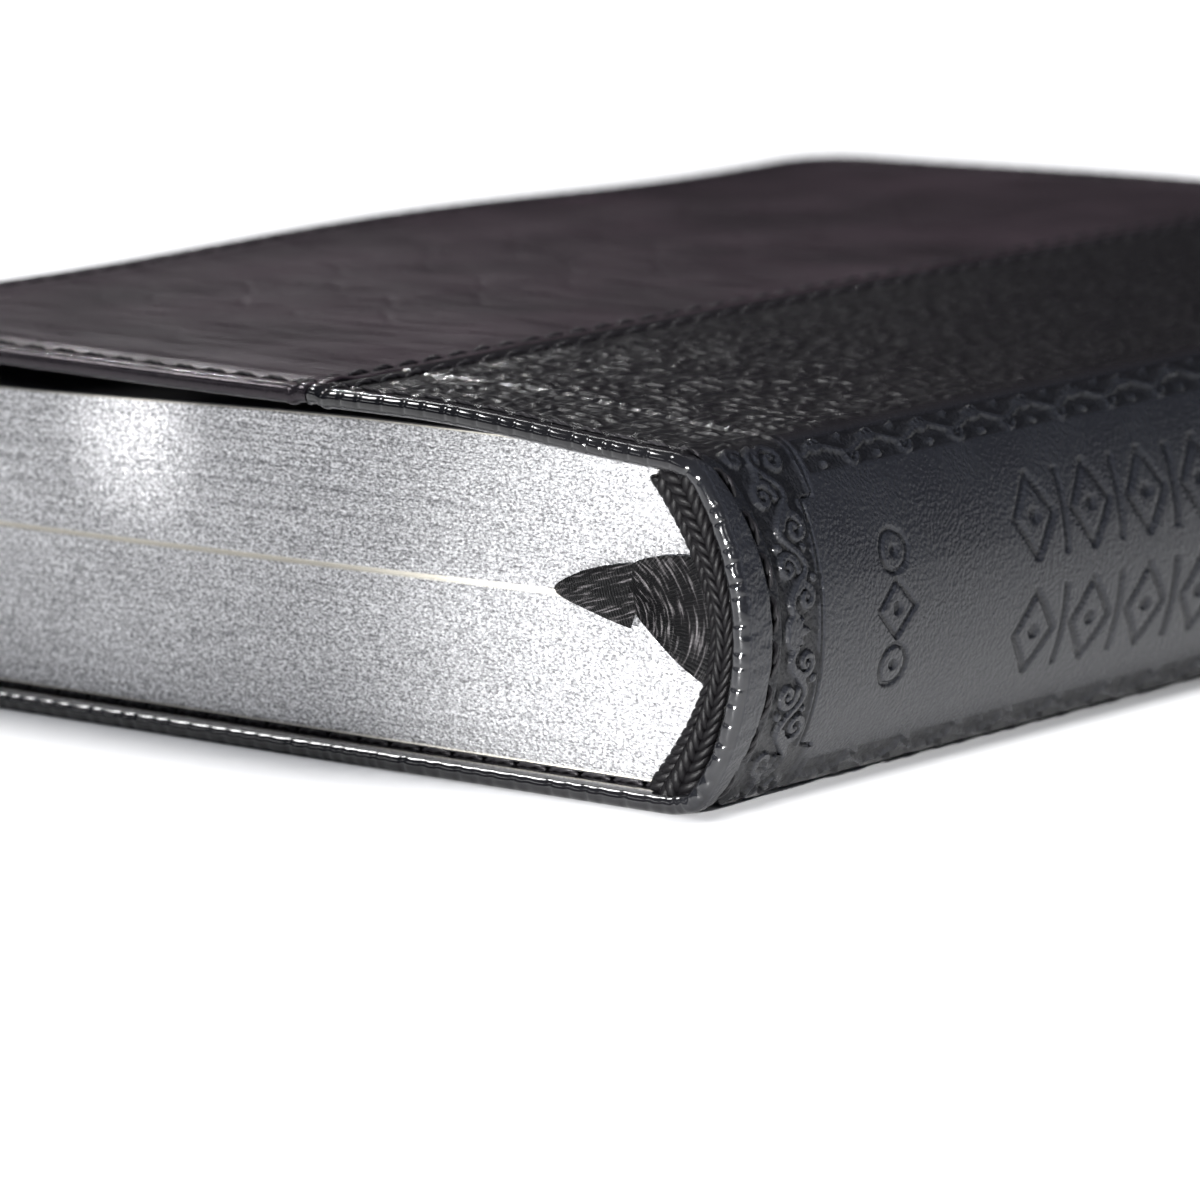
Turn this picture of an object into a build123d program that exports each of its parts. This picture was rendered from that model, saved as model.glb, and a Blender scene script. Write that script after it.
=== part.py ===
from build123d import *

import os
from math import atan2, cos, degrees, sin, sqrt

# A devotional book with a limp leather cover, lying shut with its front cover up.
# X runs from the fore-edge to the spine, Y from the head to the tail, Z up; the origin is under the middle of
# the covers, on the resting face. All lengths are in millimetres.

# Overall size
COVER_LENGTH = 171.0
COVER_THICKNESS = 2.0
BOOK_THICKNESS = 32.0
BOOK_WIDTH = 118.5
SPINE_BULGE = 6.0
COVER_CORNER_RADIUS = 8.0

# Text block
HEAD_SQUARE = 2.5
FORE_SQUARE = 4.0
PAGE_CORNER_RADIUS = 6.0
PAGE_TRIM_MARGIN = 0.25
SECTIONS_PER_HALF = 6
BLOCK_CLEARANCE = 0.1
FLYLEAF_THICKNESS = 0.12
LOOSE_LEAF_THICKNESS = 0.07

# Leather, boards and linings
LEATHER_THICKNESS = 0.9
BOARD_THICKNESS = 0.6
PASTEDOWN_THICKNESS = 0.42
RIM_WIDTH = 2.2
RIM_RADIUS = 0.9
HINGE_WIDTH = 3.0
PANEL_JOIN_FROM_FOLD = 43.0
PANEL_GAP = 0.04
SPINE_LEATHER_THICKNESS = 1.0
SPINE_TURN_IN_THICKNESS = 0.4
SPINE_TURN_IN_LENGTH = 7.5
INLAY_THICKNESS = 0.4
MULL_THICKNESS = 0.16
MULL_LENGTH = 160.0

# Thread
STITCH_PITCH = 3.6
STITCH_LENGTH = 3.0
STITCH_WIDTH = 0.5
STITCH_HEIGHT = 0.26
GROOVE_WIDTH = 1.1
GROOVE_DEPTH = 0.3
BORDER_INSET = 2.8
SEAM_ROW_OFFSET = 2.0
SEWING_STATIONS = 5
SEWING_SPAN = 130.0
SEWING_THREAD_WIDTH = 0.8
SEWING_THREAD_THICKNESS = 0.2

# End bands and ribbon
BAND_RADIUS = 1.1
RIBBON_WIDTH = 6.5
RIBBON_THICKNESS = 0.3
RIBBON_EDGE_X = 39.0
RIBBON_LOOP_TOP_Z = 21.0
RIBBON_LOOP_FOLD_Z = 19.0
RIBBON_LOOP_BOTTOM_Z = 11.0
RIBBON_TAIL_LENGTH = 24.0
RIBBON_TAIL_DROOP = 38.0
RIBBON_NOTCH_DEPTH = 3.5

# Clearances
LAYER_GAP = 0.03
PART_GAP = 0.05

# Derived positions
MID_Z = BOOK_THICKNESS / 2
FORE_X = -BOOK_WIDTH / 2
SPINE_X = BOOK_WIDTH / 2
FOLD_X = SPINE_X - SPINE_BULGE
HALF_LENGTH = COVER_LENGTH / 2
BLOCK_HALF_LENGTH = HALF_LENGTH - HEAD_SQUARE
SPINE_RADIUS = (MID_Z**2 + SPINE_BULGE**2) / (2 * SPINE_BULGE)
SPINE_CENTRE_X = SPINE_X - SPINE_RADIUS
LEATHER_INNER_RADIUS = SPINE_RADIUS - SPINE_LEATHER_THICKNESS
TURN_IN_INNER_RADIUS = LEATHER_INNER_RADIUS - SPINE_TURN_IN_THICKNESS
INLAY_OUTER_RADIUS = LEATHER_INNER_RADIUS - LAYER_GAP
INLAY_INNER_RADIUS = INLAY_OUTER_RADIUS - INLAY_THICKNESS
MULL_OUTER_RADIUS = INLAY_INNER_RADIUS - LAYER_GAP
MULL_INNER_RADIUS = MULL_OUTER_RADIUS - MULL_THICKNESS
THREAD_OUTER_RADIUS = MULL_INNER_RADIUS - LAYER_GAP
BACK_RADIUS = THREAD_OUTER_RADIUS - SEWING_THREAD_THICKNESS - LAYER_GAP
BLOCK_BOTTOM_Z = COVER_THICKNESS + BLOCK_CLEARANCE
REAR_TOP_Z = MID_Z - LAYER_GAP
REAR_LEAF_BOTTOM_Z = REAR_TOP_Z - LOOSE_LEAF_THICKNESS
RIBBON_TOP_Z = REAR_LEAF_BOTTOM_Z - LAYER_GAP
RIBBON_BOTTOM_Z = RIBBON_TOP_Z - RIBBON_THICKNESS
SECTIONS_BOTTOM_Z = BLOCK_BOTTOM_Z + FLYLEAF_THICKNESS + LAYER_GAP
SECTIONS_TOP_Z = RIBBON_BOTTOM_Z - LAYER_GAP
SECTION_THICKNESS = (SECTIONS_TOP_Z - SECTIONS_BOTTOM_Z) / SECTIONS_PER_HALF
PANEL_JOIN_X = FOLD_X - PANEL_JOIN_FROM_FOLD
MIDDLE = Plane.XY.offset(MID_Z)


def arc_x(centre_x, radius, z):
    """X of a spine-parallel arc at height z."""
    return centre_x + sqrt(radius**2 - (z - MID_Z) ** 2)


def back_x(z):
    """X of the text block's rounded back at height z."""
    return arc_x(SPINE_CENTRE_X, BACK_RADIUS, z)


# The fore-edge is hollowed by the same curve as the back, so every leaf has one width.
LEAF_WIDTH = back_x(BLOCK_BOTTOM_Z) - (FORE_X + FORE_SQUARE)


def slab_profile(z_low, z_high):
    """Cross-section of a stack of leaves: straight faces, hollow fore-edge, rounded back."""
    z_mean = (z_low + z_high) / 2
    right = [(back_x(z), z) for z in (z_low, z_mean, z_high)]
    left = [(x - LEAF_WIDTH, z) for x, z in right]
    outline = [
        Line(left[0], right[0]),
        ThreePointArc(*right),
        Line(right[2], left[2]),
        ThreePointArc(*reversed(left)),
    ]
    return Plane.XZ * make_face(outline)


def fore_rounded(x_low, x_high, half_length, radius):
    """Plan outline with rounded corners at the fore-edge and square ones at the spine."""
    plan = Pos((x_low + x_high) / 2, 0) * Rectangle(x_high - x_low, 2 * half_length)
    return fillet(plan.vertices().group_by(Axis.X)[0], radius)


def leaves(z_low, z_high):
    """A stack of leaves between two heights, with rounded page corners."""
    stack = extrude(slab_profile(z_low, z_high), BLOCK_HALF_LENGTH, both=True)
    x_low = min(back_x(z_low), back_x(z_high)) - LEAF_WIDTH - PAGE_TRIM_MARGIN
    plan = fore_rounded(x_low, SPINE_X, BLOCK_HALF_LENGTH, PAGE_CORNER_RADIUS)
    return stack & extrude(Pos(0, 0, z_low - 1) * plan, z_high - z_low + 2)


def spine_shell(outer_radius, inner_radius, z_low, z_high, half_length):
    """A curved sheet parallel to the spine, between two heights."""
    ring = Circle(outer_radius) - Circle(inner_radius)
    window = Pos(outer_radius, (z_low + z_high) / 2 - MID_Z) * Rectangle(2 * outer_radius, z_high - z_low)
    profile = Pos(SPINE_CENTRE_X, MID_Z) * (ring & window)
    return extrude(Plane.XZ * profile, half_length, both=True)


def front_twin(shape):
    """The front half of the book mirrors the rear half in the opening's plane."""
    return mirror(shape, about=MIDDLE)


def tail_twin(shape):
    """The tail end mirrors the head end."""
    return mirror(shape, about=Plane.XZ)


def stitch(x, y, z, heading):
    """One lock stitch, a short flat bar lying along its heading in degrees."""
    return Pos(x, y, z) * Rot(0, 0, heading) * Box(STITCH_LENGTH, STITCH_WIDTH, STITCH_HEIGHT)


def border_stitches(z):
    """Stitches round the three free edges of a cover."""
    x_fore = FORE_X + BORDER_INSET
    y_edge = HALF_LENGTH - BORDER_INSET
    x_end = FOLD_X - STITCH_LENGTH / 2
    corners = [(x_end, y_edge), (x_fore, y_edge), (x_fore, -y_edge), (x_end, -y_edge)]
    path = FilletPolyline(*corners, radius=COVER_CORNER_RADIUS - BORDER_INSET)
    count = round(path.length / STITCH_PITCH)
    bars = []
    for index in range(count):
        share = (index + 0.5) / count
        point = path @ share
        heading = path % share
        bars.append(stitch(point.X, point.Y, z, degrees(atan2(heading.Y, heading.X))))
    return Compound(bars)


def seam_stitches(z):
    """The two rows that join the plain panel to the embossed one."""
    y_edge = HALF_LENGTH - BORDER_INSET - STITCH_PITCH
    count = round(2 * y_edge / STITCH_PITCH)
    bars = []
    for offset in (-SEAM_ROW_OFFSET, SEAM_ROW_OFFSET):
        for index in range(count):
            y = -y_edge + (index + 0.5) * 2 * y_edge / count
            bars.append(stitch(PANEL_JOIN_X + offset, y, z, 90))
    return Compound(bars)


def border_groove(z_floor):
    """The shallow channel the border stitches lie in."""
    outer = BORDER_INSET - GROOVE_WIDTH / 2
    inner = BORDER_INSET + GROOVE_WIDTH / 2
    rings = []
    for inset in (outer, inner):
        rings.append(fore_rounded(FORE_X + inset, SPINE_X, HALF_LENGTH - inset, COVER_CORNER_RADIUS - inset))
    return extrude(Pos(0, 0, z_floor) * (rings[0] - rings[1]), GROOVE_DEPTH + 1)


def seam_groove(offset):
    """The channel of one seam row, open at both ends into the border channel."""
    z_middle = BOOK_THICKNESS - GROOVE_DEPTH + 0.5
    length = 2 * (HALF_LENGTH - BORDER_INSET)
    return Pos(PANEL_JOIN_X + offset, 0, z_middle) * Box(GROOVE_WIDTH, length, 1)


def cover_layer(z_low, thickness):
    """A sheet that fills the inside of a cover, within the turned-in leather rim."""
    inset = RIM_WIDTH + PART_GAP
    x_high = FOLD_X - HINGE_WIDTH - PART_GAP
    plan = fore_rounded(FORE_X + inset, x_high, HALF_LENGTH - inset, COVER_CORNER_RADIUS - inset)
    return extrude(Pos(0, 0, z_low) * plan, thickness)


def cover_leather():
    """The front cover's leather: outer sheet, turned-in rim and hinge, hollow for the board and pastedown."""
    z_low = BOOK_THICKNESS - COVER_THICKNESS
    plan = fore_rounded(FORE_X, FOLD_X, HALF_LENGTH, COVER_CORNER_RADIUS)
    slab = extrude(Pos(0, 0, z_low) * plan, COVER_THICKNESS)
    free_edges = [
        edge
        for face in (slab.faces().sort_by(Axis.Z)[0], slab.faces().sort_by(Axis.Z)[-1])
        for edge in face.edges()
        if edge.center().X < FOLD_X - 1
    ]
    slab = fillet(free_edges, RIM_RADIUS)
    pocket = fore_rounded(
        FORE_X + RIM_WIDTH,
        FOLD_X - HINGE_WIDTH,
        HALF_LENGTH - RIM_WIDTH,
        COVER_CORNER_RADIUS - RIM_WIDTH,
    )
    slab -= extrude(Pos(0, 0, z_low - 1) * pocket, COVER_THICKNESS - LEATHER_THICKNESS + 1)
    return slab - border_groove(BOOK_THICKNESS - GROOVE_DEPTH)


def panel(leather, x_low, x_high):
    """The part of a cover's leather between two X positions."""
    block = Pos((x_low + x_high) / 2, 0, MID_Z) * Box(x_high - x_low, 2 * COVER_LENGTH, 2 * BOOK_THICKNESS)
    return leather & block


def front_cover_parts():
    """The front cover: two leather panels seamed together over a thin board and a pastedown."""
    leather = cover_leather()
    for offset in (-SEAM_ROW_OFFSET, SEAM_ROW_OFFSET):
        leather -= seam_groove(offset)
    z_inner = BOOK_THICKNESS - COVER_THICKNESS
    z_stitch = BOOK_THICKNESS - GROOVE_DEPTH + STITCH_HEIGHT / 2
    return {
        "front_leather_plain": panel(leather, FORE_X - 1, PANEL_JOIN_X - PANEL_GAP / 2),
        "front_leather_embossed": panel(leather, PANEL_JOIN_X + PANEL_GAP / 2, FOLD_X + 1),
        "front_board": cover_layer(z_inner + PASTEDOWN_THICKNESS + PART_GAP, BOARD_THICKNESS),
        "front_pastedown": cover_layer(z_inner, PASTEDOWN_THICKNESS),
        "front_border_stitching": border_stitches(z_stitch),
        "front_seam_stitching": seam_stitches(z_stitch),
    }


def back_cover_parts():
    """The back cover: one leather sheet over a thin board and a pastedown."""
    z_inner = BOOK_THICKNESS - COVER_THICKNESS
    z_stitch = BOOK_THICKNESS - GROOVE_DEPTH + STITCH_HEIGHT / 2
    return {
        "back_leather": front_twin(cover_leather()),
        "back_board": front_twin(cover_layer(z_inner + PASTEDOWN_THICKNESS + PART_GAP, BOARD_THICKNESS)),
        "back_pastedown": front_twin(cover_layer(z_inner, PASTEDOWN_THICKNESS)),
        "back_border_stitching": front_twin(border_stitches(z_stitch)),
    }


def half_spine_leather():
    """The rear half of the spine leather, with its ends turned in over themselves."""
    shell = spine_shell(SPINE_RADIUS, LEATHER_INNER_RADIUS, 0, REAR_TOP_Z, HALF_LENGTH)
    turn_in = spine_shell(
        LEATHER_INNER_RADIUS + LAYER_GAP, TURN_IN_INNER_RADIUS, 0, REAR_TOP_Z, SPINE_TURN_IN_LENGTH / 2
    )
    turn_in_y = HALF_LENGTH - SPINE_TURN_IN_LENGTH / 2
    shell += [Pos(0, -turn_in_y, 0) * turn_in, Pos(0, turn_in_y, 0) * turn_in]
    groove = spine_shell(SPINE_RADIUS + 1, SPINE_RADIUS - GROOVE_DEPTH, 0, REAR_TOP_Z, GROOVE_WIDTH / 2)
    groove_y = HALF_LENGTH - BORDER_INSET
    shell -= [Pos(0, -groove_y, 0) * groove, Pos(0, groove_y, 0) * groove]
    cover_space = Box(2 * (FOLD_X + PART_GAP), 2 * COVER_LENGTH, 2 * BLOCK_BOTTOM_Z)
    return shell - cover_space


def half_spine_stitches():
    """Stitches across the rear half of the spine, at the head and at the tail."""
    radius = SPINE_RADIUS - GROOVE_DEPTH + STITCH_HEIGHT / 2
    half_arc = atan2(MID_Z, FOLD_X - SPINE_CENTRE_X)
    count = int(radius * half_arc / STITCH_PITCH)
    bars = []
    for index in range(count):
        angle = (index + 0.5) * STITCH_PITCH / radius
        x = SPINE_CENTRE_X + radius * cos(angle)
        z = MID_Z - radius * sin(angle)
        bar = Rot(0, degrees(angle), 0) * Box(STITCH_HEIGHT, STITCH_WIDTH, STITCH_LENGTH)
        for y in (-(HALF_LENGTH - BORDER_INSET), HALF_LENGTH - BORDER_INSET):
            bars.append(Pos(x, y, z) * bar)
    return Compound(bars)


def half_sewing():
    """Sewing thread that ties the rear sections together at each station along the back."""
    thread = spine_shell(
        THREAD_OUTER_RADIUS,
        BACK_RADIUS + LAYER_GAP,
        SECTIONS_BOTTOM_Z + SECTION_THICKNESS / 2,
        SECTIONS_TOP_Z,
        SEWING_THREAD_WIDTH / 2,
    )
    spacing = SEWING_SPAN / (SEWING_STATIONS - 1)
    stations = [-SEWING_SPAN / 2 + spacing * index for index in range(SEWING_STATIONS)]
    return Compound([Pos(0, y, 0) * thread for y in stations])


def half_head_band():
    """The rear half of the head band: a corded bead along the back of the block's head edge."""
    path_radius = TURN_IN_INNER_RADIUS - BAND_RADIUS - PART_GAP
    y = -(BLOCK_HALF_LENGTH + BAND_RADIUS + PART_GAP)
    end_z = BLOCK_BOTTOM_Z + BAND_RADIUS
    start_angle = degrees(LAYER_GAP / path_radius)
    end_angle = degrees(atan2(MID_Z - end_z, sqrt(path_radius**2 - (MID_Z - end_z) ** 2)))
    disc = MIDDLE * Pos(SPINE_CENTRE_X + path_radius, y) * Circle(BAND_RADIUS)
    axis = Axis((SPINE_CENTRE_X, 0, MID_Z), (0, 1, 0))
    return revolve(disc.rotate(axis, start_angle), axis, end_angle - start_angle)


def rear_half_parts():
    """Everything that stays with the rear half of the book."""
    parts = {}
    for index in range(SECTIONS_PER_HALF):
        z = SECTIONS_BOTTOM_Z + index * SECTION_THICKNESS
        parts[f"rear_section_{index + 1}"] = leaves(z, z + SECTION_THICKNESS - LAYER_GAP)
    parts["rear_spine_leather"] = half_spine_leather()
    parts["rear_spine_stitching"] = half_spine_stitches()
    parts["rear_spine_inlay"] = spine_shell(
        INLAY_OUTER_RADIUS,
        INLAY_INNER_RADIUS,
        BLOCK_BOTTOM_Z,
        REAR_TOP_Z,
        HALF_LENGTH - SPINE_TURN_IN_LENGTH - PART_GAP,
    )
    parts["rear_mull"] = spine_shell(
        MULL_OUTER_RADIUS, MULL_INNER_RADIUS, BLOCK_BOTTOM_Z, REAR_TOP_Z, MULL_LENGTH / 2
    )
    parts["rear_sewing"] = half_sewing()
    parts["rear_head_band"] = half_head_band()
    parts["rear_tail_band"] = tail_twin(parts["rear_head_band"])
    return parts


def front_half_parts(rear):
    """The front half's own copies of the rear half's pieces."""
    return {name.replace("rear", "front"): front_twin(shape) for name, shape in rear.items()}


def loose_leaf_parts():
    """The flyleaves, and the two leaves that face each other at the opening."""
    flyleaf = leaves(BLOCK_BOTTOM_Z, BLOCK_BOTTOM_Z + FLYLEAF_THICKNESS)
    opening_leaf = leaves(REAR_LEAF_BOTTOM_Z, REAR_TOP_Z)
    return {
        "rear_flyleaf": flyleaf,
        "front_flyleaf": front_twin(flyleaf),
        "rear_opening_leaf": opening_leaf,
        "front_opening_leaf": front_twin(opening_leaf),
    }


def ribbon_loop():
    """The folded loop of the marker ribbon, lying against the head edge beside the head band."""
    inside_band = TURN_IN_INNER_RADIUS - 2 * BAND_RADIUS - 2 * PART_GAP
    right_x = arc_x(SPINE_CENTRE_X, inside_band, RIBBON_LOOP_TOP_Z)
    fold_x = RIBBON_EDGE_X + RIBBON_WIDTH
    corners = [
        (RIBBON_EDGE_X, RIBBON_TOP_Z),
        (fold_x, RIBBON_LOOP_FOLD_Z),
        (right_x, RIBBON_LOOP_TOP_Z),
        (right_x, RIBBON_LOOP_BOTTOM_Z),
        (fold_x, RIBBON_BOTTOM_Z),
    ]
    face = Plane.XZ * make_face(Polyline(*corners, close=True))
    return Pos(0, -BLOCK_HALF_LENGTH - PART_GAP, 0) * extrude(face, RIBBON_THICKNESS)


def ribbon_strip():
    """The ribbon's run between the pages, from the head edge to the tail edge."""
    return Pos(RIBBON_EDGE_X, -BLOCK_HALF_LENGTH, RIBBON_BOTTOM_Z) * Box(
        RIBBON_WIDTH, 2 * BLOCK_HALF_LENGTH, RIBBON_THICKNESS, align=Align.MIN
    )


def ribbon_tail():
    """The ribbon's free end, drooping past the tail edge, with a notched tip."""
    half = RIBBON_WIDTH / 2
    outline = [
        (-half, 0),
        (half, 0),
        (half, RIBBON_TAIL_LENGTH),
        (0, RIBBON_TAIL_LENGTH - RIBBON_NOTCH_DEPTH),
        (-half, RIBBON_TAIL_LENGTH),
    ]
    flat = extrude(make_face(Polyline(*outline, close=True)), -RIBBON_THICKNESS)
    start = Pos(RIBBON_EDGE_X + half, BLOCK_HALF_LENGTH + PART_GAP, RIBBON_TOP_Z)
    return start * Rot(-RIBBON_TAIL_DROOP, 0, 0) * Pos(0, RIBBON_THICKNESS, 0) * flat


def ribbon_parts():
    """The marker ribbon, in its three runs."""
    return {
        "ribbon_loop": ribbon_loop(),
        "ribbon_strip": ribbon_strip(),
        "ribbon_tail": ribbon_tail(),
    }


def main():
    os.makedirs("parts", exist_ok=True)
    rear = rear_half_parts()
    groups = [
        rear,
        front_half_parts(rear),
        loose_leaf_parts(),
        front_cover_parts(),
        back_cover_parts(),
        ribbon_parts(),
    ]
    for group in groups:
        for name, shape in group.items():
            export_step(shape, f"parts/{name}.step")


main()
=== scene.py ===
import math

import bpy
import numpy as np
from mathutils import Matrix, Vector


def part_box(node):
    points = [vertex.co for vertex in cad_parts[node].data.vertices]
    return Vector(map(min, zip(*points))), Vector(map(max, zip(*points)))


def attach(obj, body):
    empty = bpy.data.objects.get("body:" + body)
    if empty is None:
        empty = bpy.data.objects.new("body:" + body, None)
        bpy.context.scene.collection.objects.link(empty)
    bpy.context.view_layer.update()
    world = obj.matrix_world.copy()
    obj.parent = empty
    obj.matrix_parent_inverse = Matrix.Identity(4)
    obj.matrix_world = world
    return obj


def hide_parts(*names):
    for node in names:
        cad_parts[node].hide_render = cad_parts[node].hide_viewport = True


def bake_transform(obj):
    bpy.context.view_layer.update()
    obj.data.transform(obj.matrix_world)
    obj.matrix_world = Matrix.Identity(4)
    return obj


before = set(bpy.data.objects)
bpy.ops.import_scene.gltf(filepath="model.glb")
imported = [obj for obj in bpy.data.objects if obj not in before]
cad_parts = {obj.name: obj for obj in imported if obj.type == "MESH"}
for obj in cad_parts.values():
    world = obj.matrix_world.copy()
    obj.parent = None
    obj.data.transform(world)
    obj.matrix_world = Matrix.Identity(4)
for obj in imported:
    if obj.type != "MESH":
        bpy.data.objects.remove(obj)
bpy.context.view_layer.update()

# Lengths below are in millimetres, in the CAD frame; make() scales them to metres.
MM = 0.001


def box_mm(node):
    low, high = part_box(node)
    return np.array(low) / MM, np.array(high) / MM


# ---------------------------------------------------------------- sizes, most of them from the CAD
COVER_LOW, COVER_HIGH = box_mm("back_leather")
SPINE_HIGH = box_mm("front_spine_leather")[1]
THICK = SPINE_HIGH[2]
MID = THICK / 2
SPINE_X = SPINE_HIGH[0]
FORE_X, FOLD_X = COVER_LOW[0], COVER_HIGH[0]
HALF = COVER_HIGH[1]
COVER_WIDTH = FOLD_X - FORE_X
CORNER = 8.0
BULGE = SPINE_X - FOLD_X
SPINE_R = (MID**2 + BULGE**2) / (2 * BULGE)
SPINE_CX = SPINE_X - SPINE_R
ARC_HALF = math.asin(MID / SPINE_R)
ARC = 2 * SPINE_R * ARC_HALF
# Width of the rounding between cover and spine.
SHOULDER = 4.2
WARP_RISE = 1.9
# The seam between plain and embossed leather, and its two stitch rows beside it.
SEAM_S, SEAM_ROW = -43.0, 2.0
# Where the spine's own leather begins and ends.
FRONT_CUT_S = 5.5
BACK_CUT_S = ARC - FRONT_CUT_S
LEATHER = 1.8
STITCH_INSET = 2.8
# The stitch line runs this much further in at the middle of the spine.
CAP_EXTRA = 2.4
BLOCK_HALF = box_mm("rear_section_6")[1][1]


def smooth(x):
    x = np.clip(x, 0.0, 1.0)
    return x * x * (3 - 2 * x)


# ---------------------------------------------------------------- the leather's wrapped surface
# s runs round the book in one line: below 0 on the front cover, 0 to ARC over the spine, above ARC on the back.
def sharp_profile(s):
    phi = ARC_HALF - s / SPINE_R
    on_arc_x = SPINE_CX + SPINE_R * np.cos(phi)
    on_arc_z = MID + SPINE_R * np.sin(phi)
    x = np.where(s < 0, FOLD_X + s, np.where(s > ARC, FOLD_X - (s - ARC), on_arc_x))
    z = np.where(s < 0, THICK, np.where(s > ARC, 0.0, on_arc_z))
    return np.stack([x, z], -1)


def profile(s):
    offsets = np.linspace(-1, 1, 21)
    weights = np.cos(offsets * math.pi / 2) ** 2
    weights = weights / weights.sum()
    return sum(w * sharp_profile(s + SHOULDER * o) for w, o in zip(weights, offsets))


def front_warp(x, y):
    """How far the limp front cover stands above flat."""
    rise = WARP_RISE * smooth((FOLD_X + 1.5 - x) / 34.0)
    sag = -0.9 * smooth((-x - 5.0) / 60.0) * smooth((y + 40) / 100.0)
    wave = 0.45 * np.sin(y / 17.0 + 0.8) * smooth((-x + 5.0) / 60.0)
    return rise + sag + wave


def leather_point(s, y, height):
    """Point on the leather at height above its smooth outer surface, with the surface's directions."""
    step = 0.05
    here = profile(s)
    tangent = profile(s + step) - profile(s - step)
    tangent = tangent / np.linalg.norm(tangent, axis=-1, keepdims=True)
    normal = np.stack([-tangent[..., 1], tangent[..., 0]], -1)
    x, z = here[..., 0] + normal[..., 0] * height, here[..., 1] + normal[..., 1] * height
    z = z + np.where(s < 2.0, front_warp(here[..., 0], y), 0.0) * smooth((2.0 - s) / 3.0)
    point = np.stack([x, y + 0 * x, z], -1)
    zero = np.zeros_like(x)
    return (
        point,
        np.stack([tangent[..., 0], zero, tangent[..., 1]], -1),
        np.stack([normal[..., 0], zero, normal[..., 1]], -1),
    )


def edge_distance(s, y):
    """Distance over the leather to its nearest free edge."""
    across = np.where(s < ARC / 2, s + COVER_WIDTH, ARC + COVER_WIDTH - s)
    along = HALF - np.abs(y)
    dx, dy = CORNER - across, CORNER - along
    rounded = CORNER - np.hypot(np.maximum(dx, 0), np.maximum(dy, 0))
    return np.where((dx > 0) & (dy > 0), rounded, np.minimum(across, along))


def stitch_inset(s):
    return STITCH_INSET + CAP_EXTRA * np.sin(math.pi * np.clip(s / ARC, 0, 1)) ** 0.8


# ---------------------------------------------------------------- relief
def cell_random(i, j, seed):
    value = np.sin(i * 127.1 + j * 311.7 + seed * 74.7) * 43758.5453
    return value - np.floor(value)


def leaf_field(s, y, cell, long, short, seed):
    """Height 0 to 1 of small leaves scattered on a jittered grid and turned along a swirling flow."""
    column, row = np.floor(s / cell), np.floor(y / cell)
    best = np.zeros_like(s)
    for di in (-1, 0, 1):
        for dj in (-1, 0, 1):
            i, j = column + di, row + dj
            cx = (i + 0.5 + 0.8 * (cell_random(i, j, seed) - 0.5)) * cell
            cy = (j + 0.5 + 0.8 * (cell_random(i, j, seed + 1) - 0.5)) * cell
            size = 0.65 + 0.6 * cell_random(i, j, seed + 3)
            turn = 2.2 * np.sin(cx / 5.1) + 2.0 * np.cos(cy / 6.3) + 1.6 * cell_random(i, j, seed + 2)
            u = (s - cx) * np.cos(turn) + (y - cy) * np.sin(turn)
            v = -(s - cx) * np.sin(turn) + (y - cy) * np.cos(turn)
            v = v + 0.25 * u * u / long
            reach = np.clip(1 - (u / (long * size)) ** 2 - (v / (short * size)) ** 2, 0, 1)
            best = np.maximum(best, np.sqrt(reach))
    return best


def stroke_depth(s, u, strokes, edge):
    """1 inside any stroke, 0 outside, with a soft edge. A stroke is (points, half widths)."""
    flat = np.stack([s.ravel(), u.ravel()], -1)
    best = np.zeros(len(flat))
    for points, widths in strokes:
        points, widths = np.asarray(points, float), np.asarray(widths, float)
        margin = widths.max() + edge
        low, high = points.min(0) - margin, points.max(0) + margin
        near = np.nonzero(((flat > low) & (flat < high)).all(1))[0]
        if not len(near):
            continue
        p = flat[near][:, None, :]
        a, b = points[:-1][None], points[1:][None]
        ab = b - a
        t = np.clip(((p - a) * ab).sum(-1) / np.maximum((ab**2).sum(-1), 1e-9), 0, 1)
        d = np.linalg.norm(p - (a + t[..., None] * ab), axis=-1)
        width = widths[:-1][None] * (1 - t) + widths[1:][None] * t
        inside = smooth((width - d) / edge + 0.5).max(1)
        best[near] = np.maximum(best[near], inside)
    return best.reshape(s.shape)


def volute(cx, cy, radius, start, hand, turns=1.35, width=0.42):
    t = np.linspace(0, 1, 34)
    r = radius * (1 - 0.86 * t**0.8)
    angle = math.radians(start) + hand * turns * 2 * math.pi * t
    points = np.stack([cx + r * np.cos(angle), cy + r * np.sin(angle)], -1)
    return points, width * (1 - 0.35 * t) * min(1.0, radius / 1.4)


def bead(cx, cy, radius):
    return np.array([[cx - 0.01, cy], [cx + 0.01, cy]]), np.array([radius, radius])


def mirrored(strokes):
    return strokes + [(points * [-1, 1], widths) for points, widths in strokes]


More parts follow.
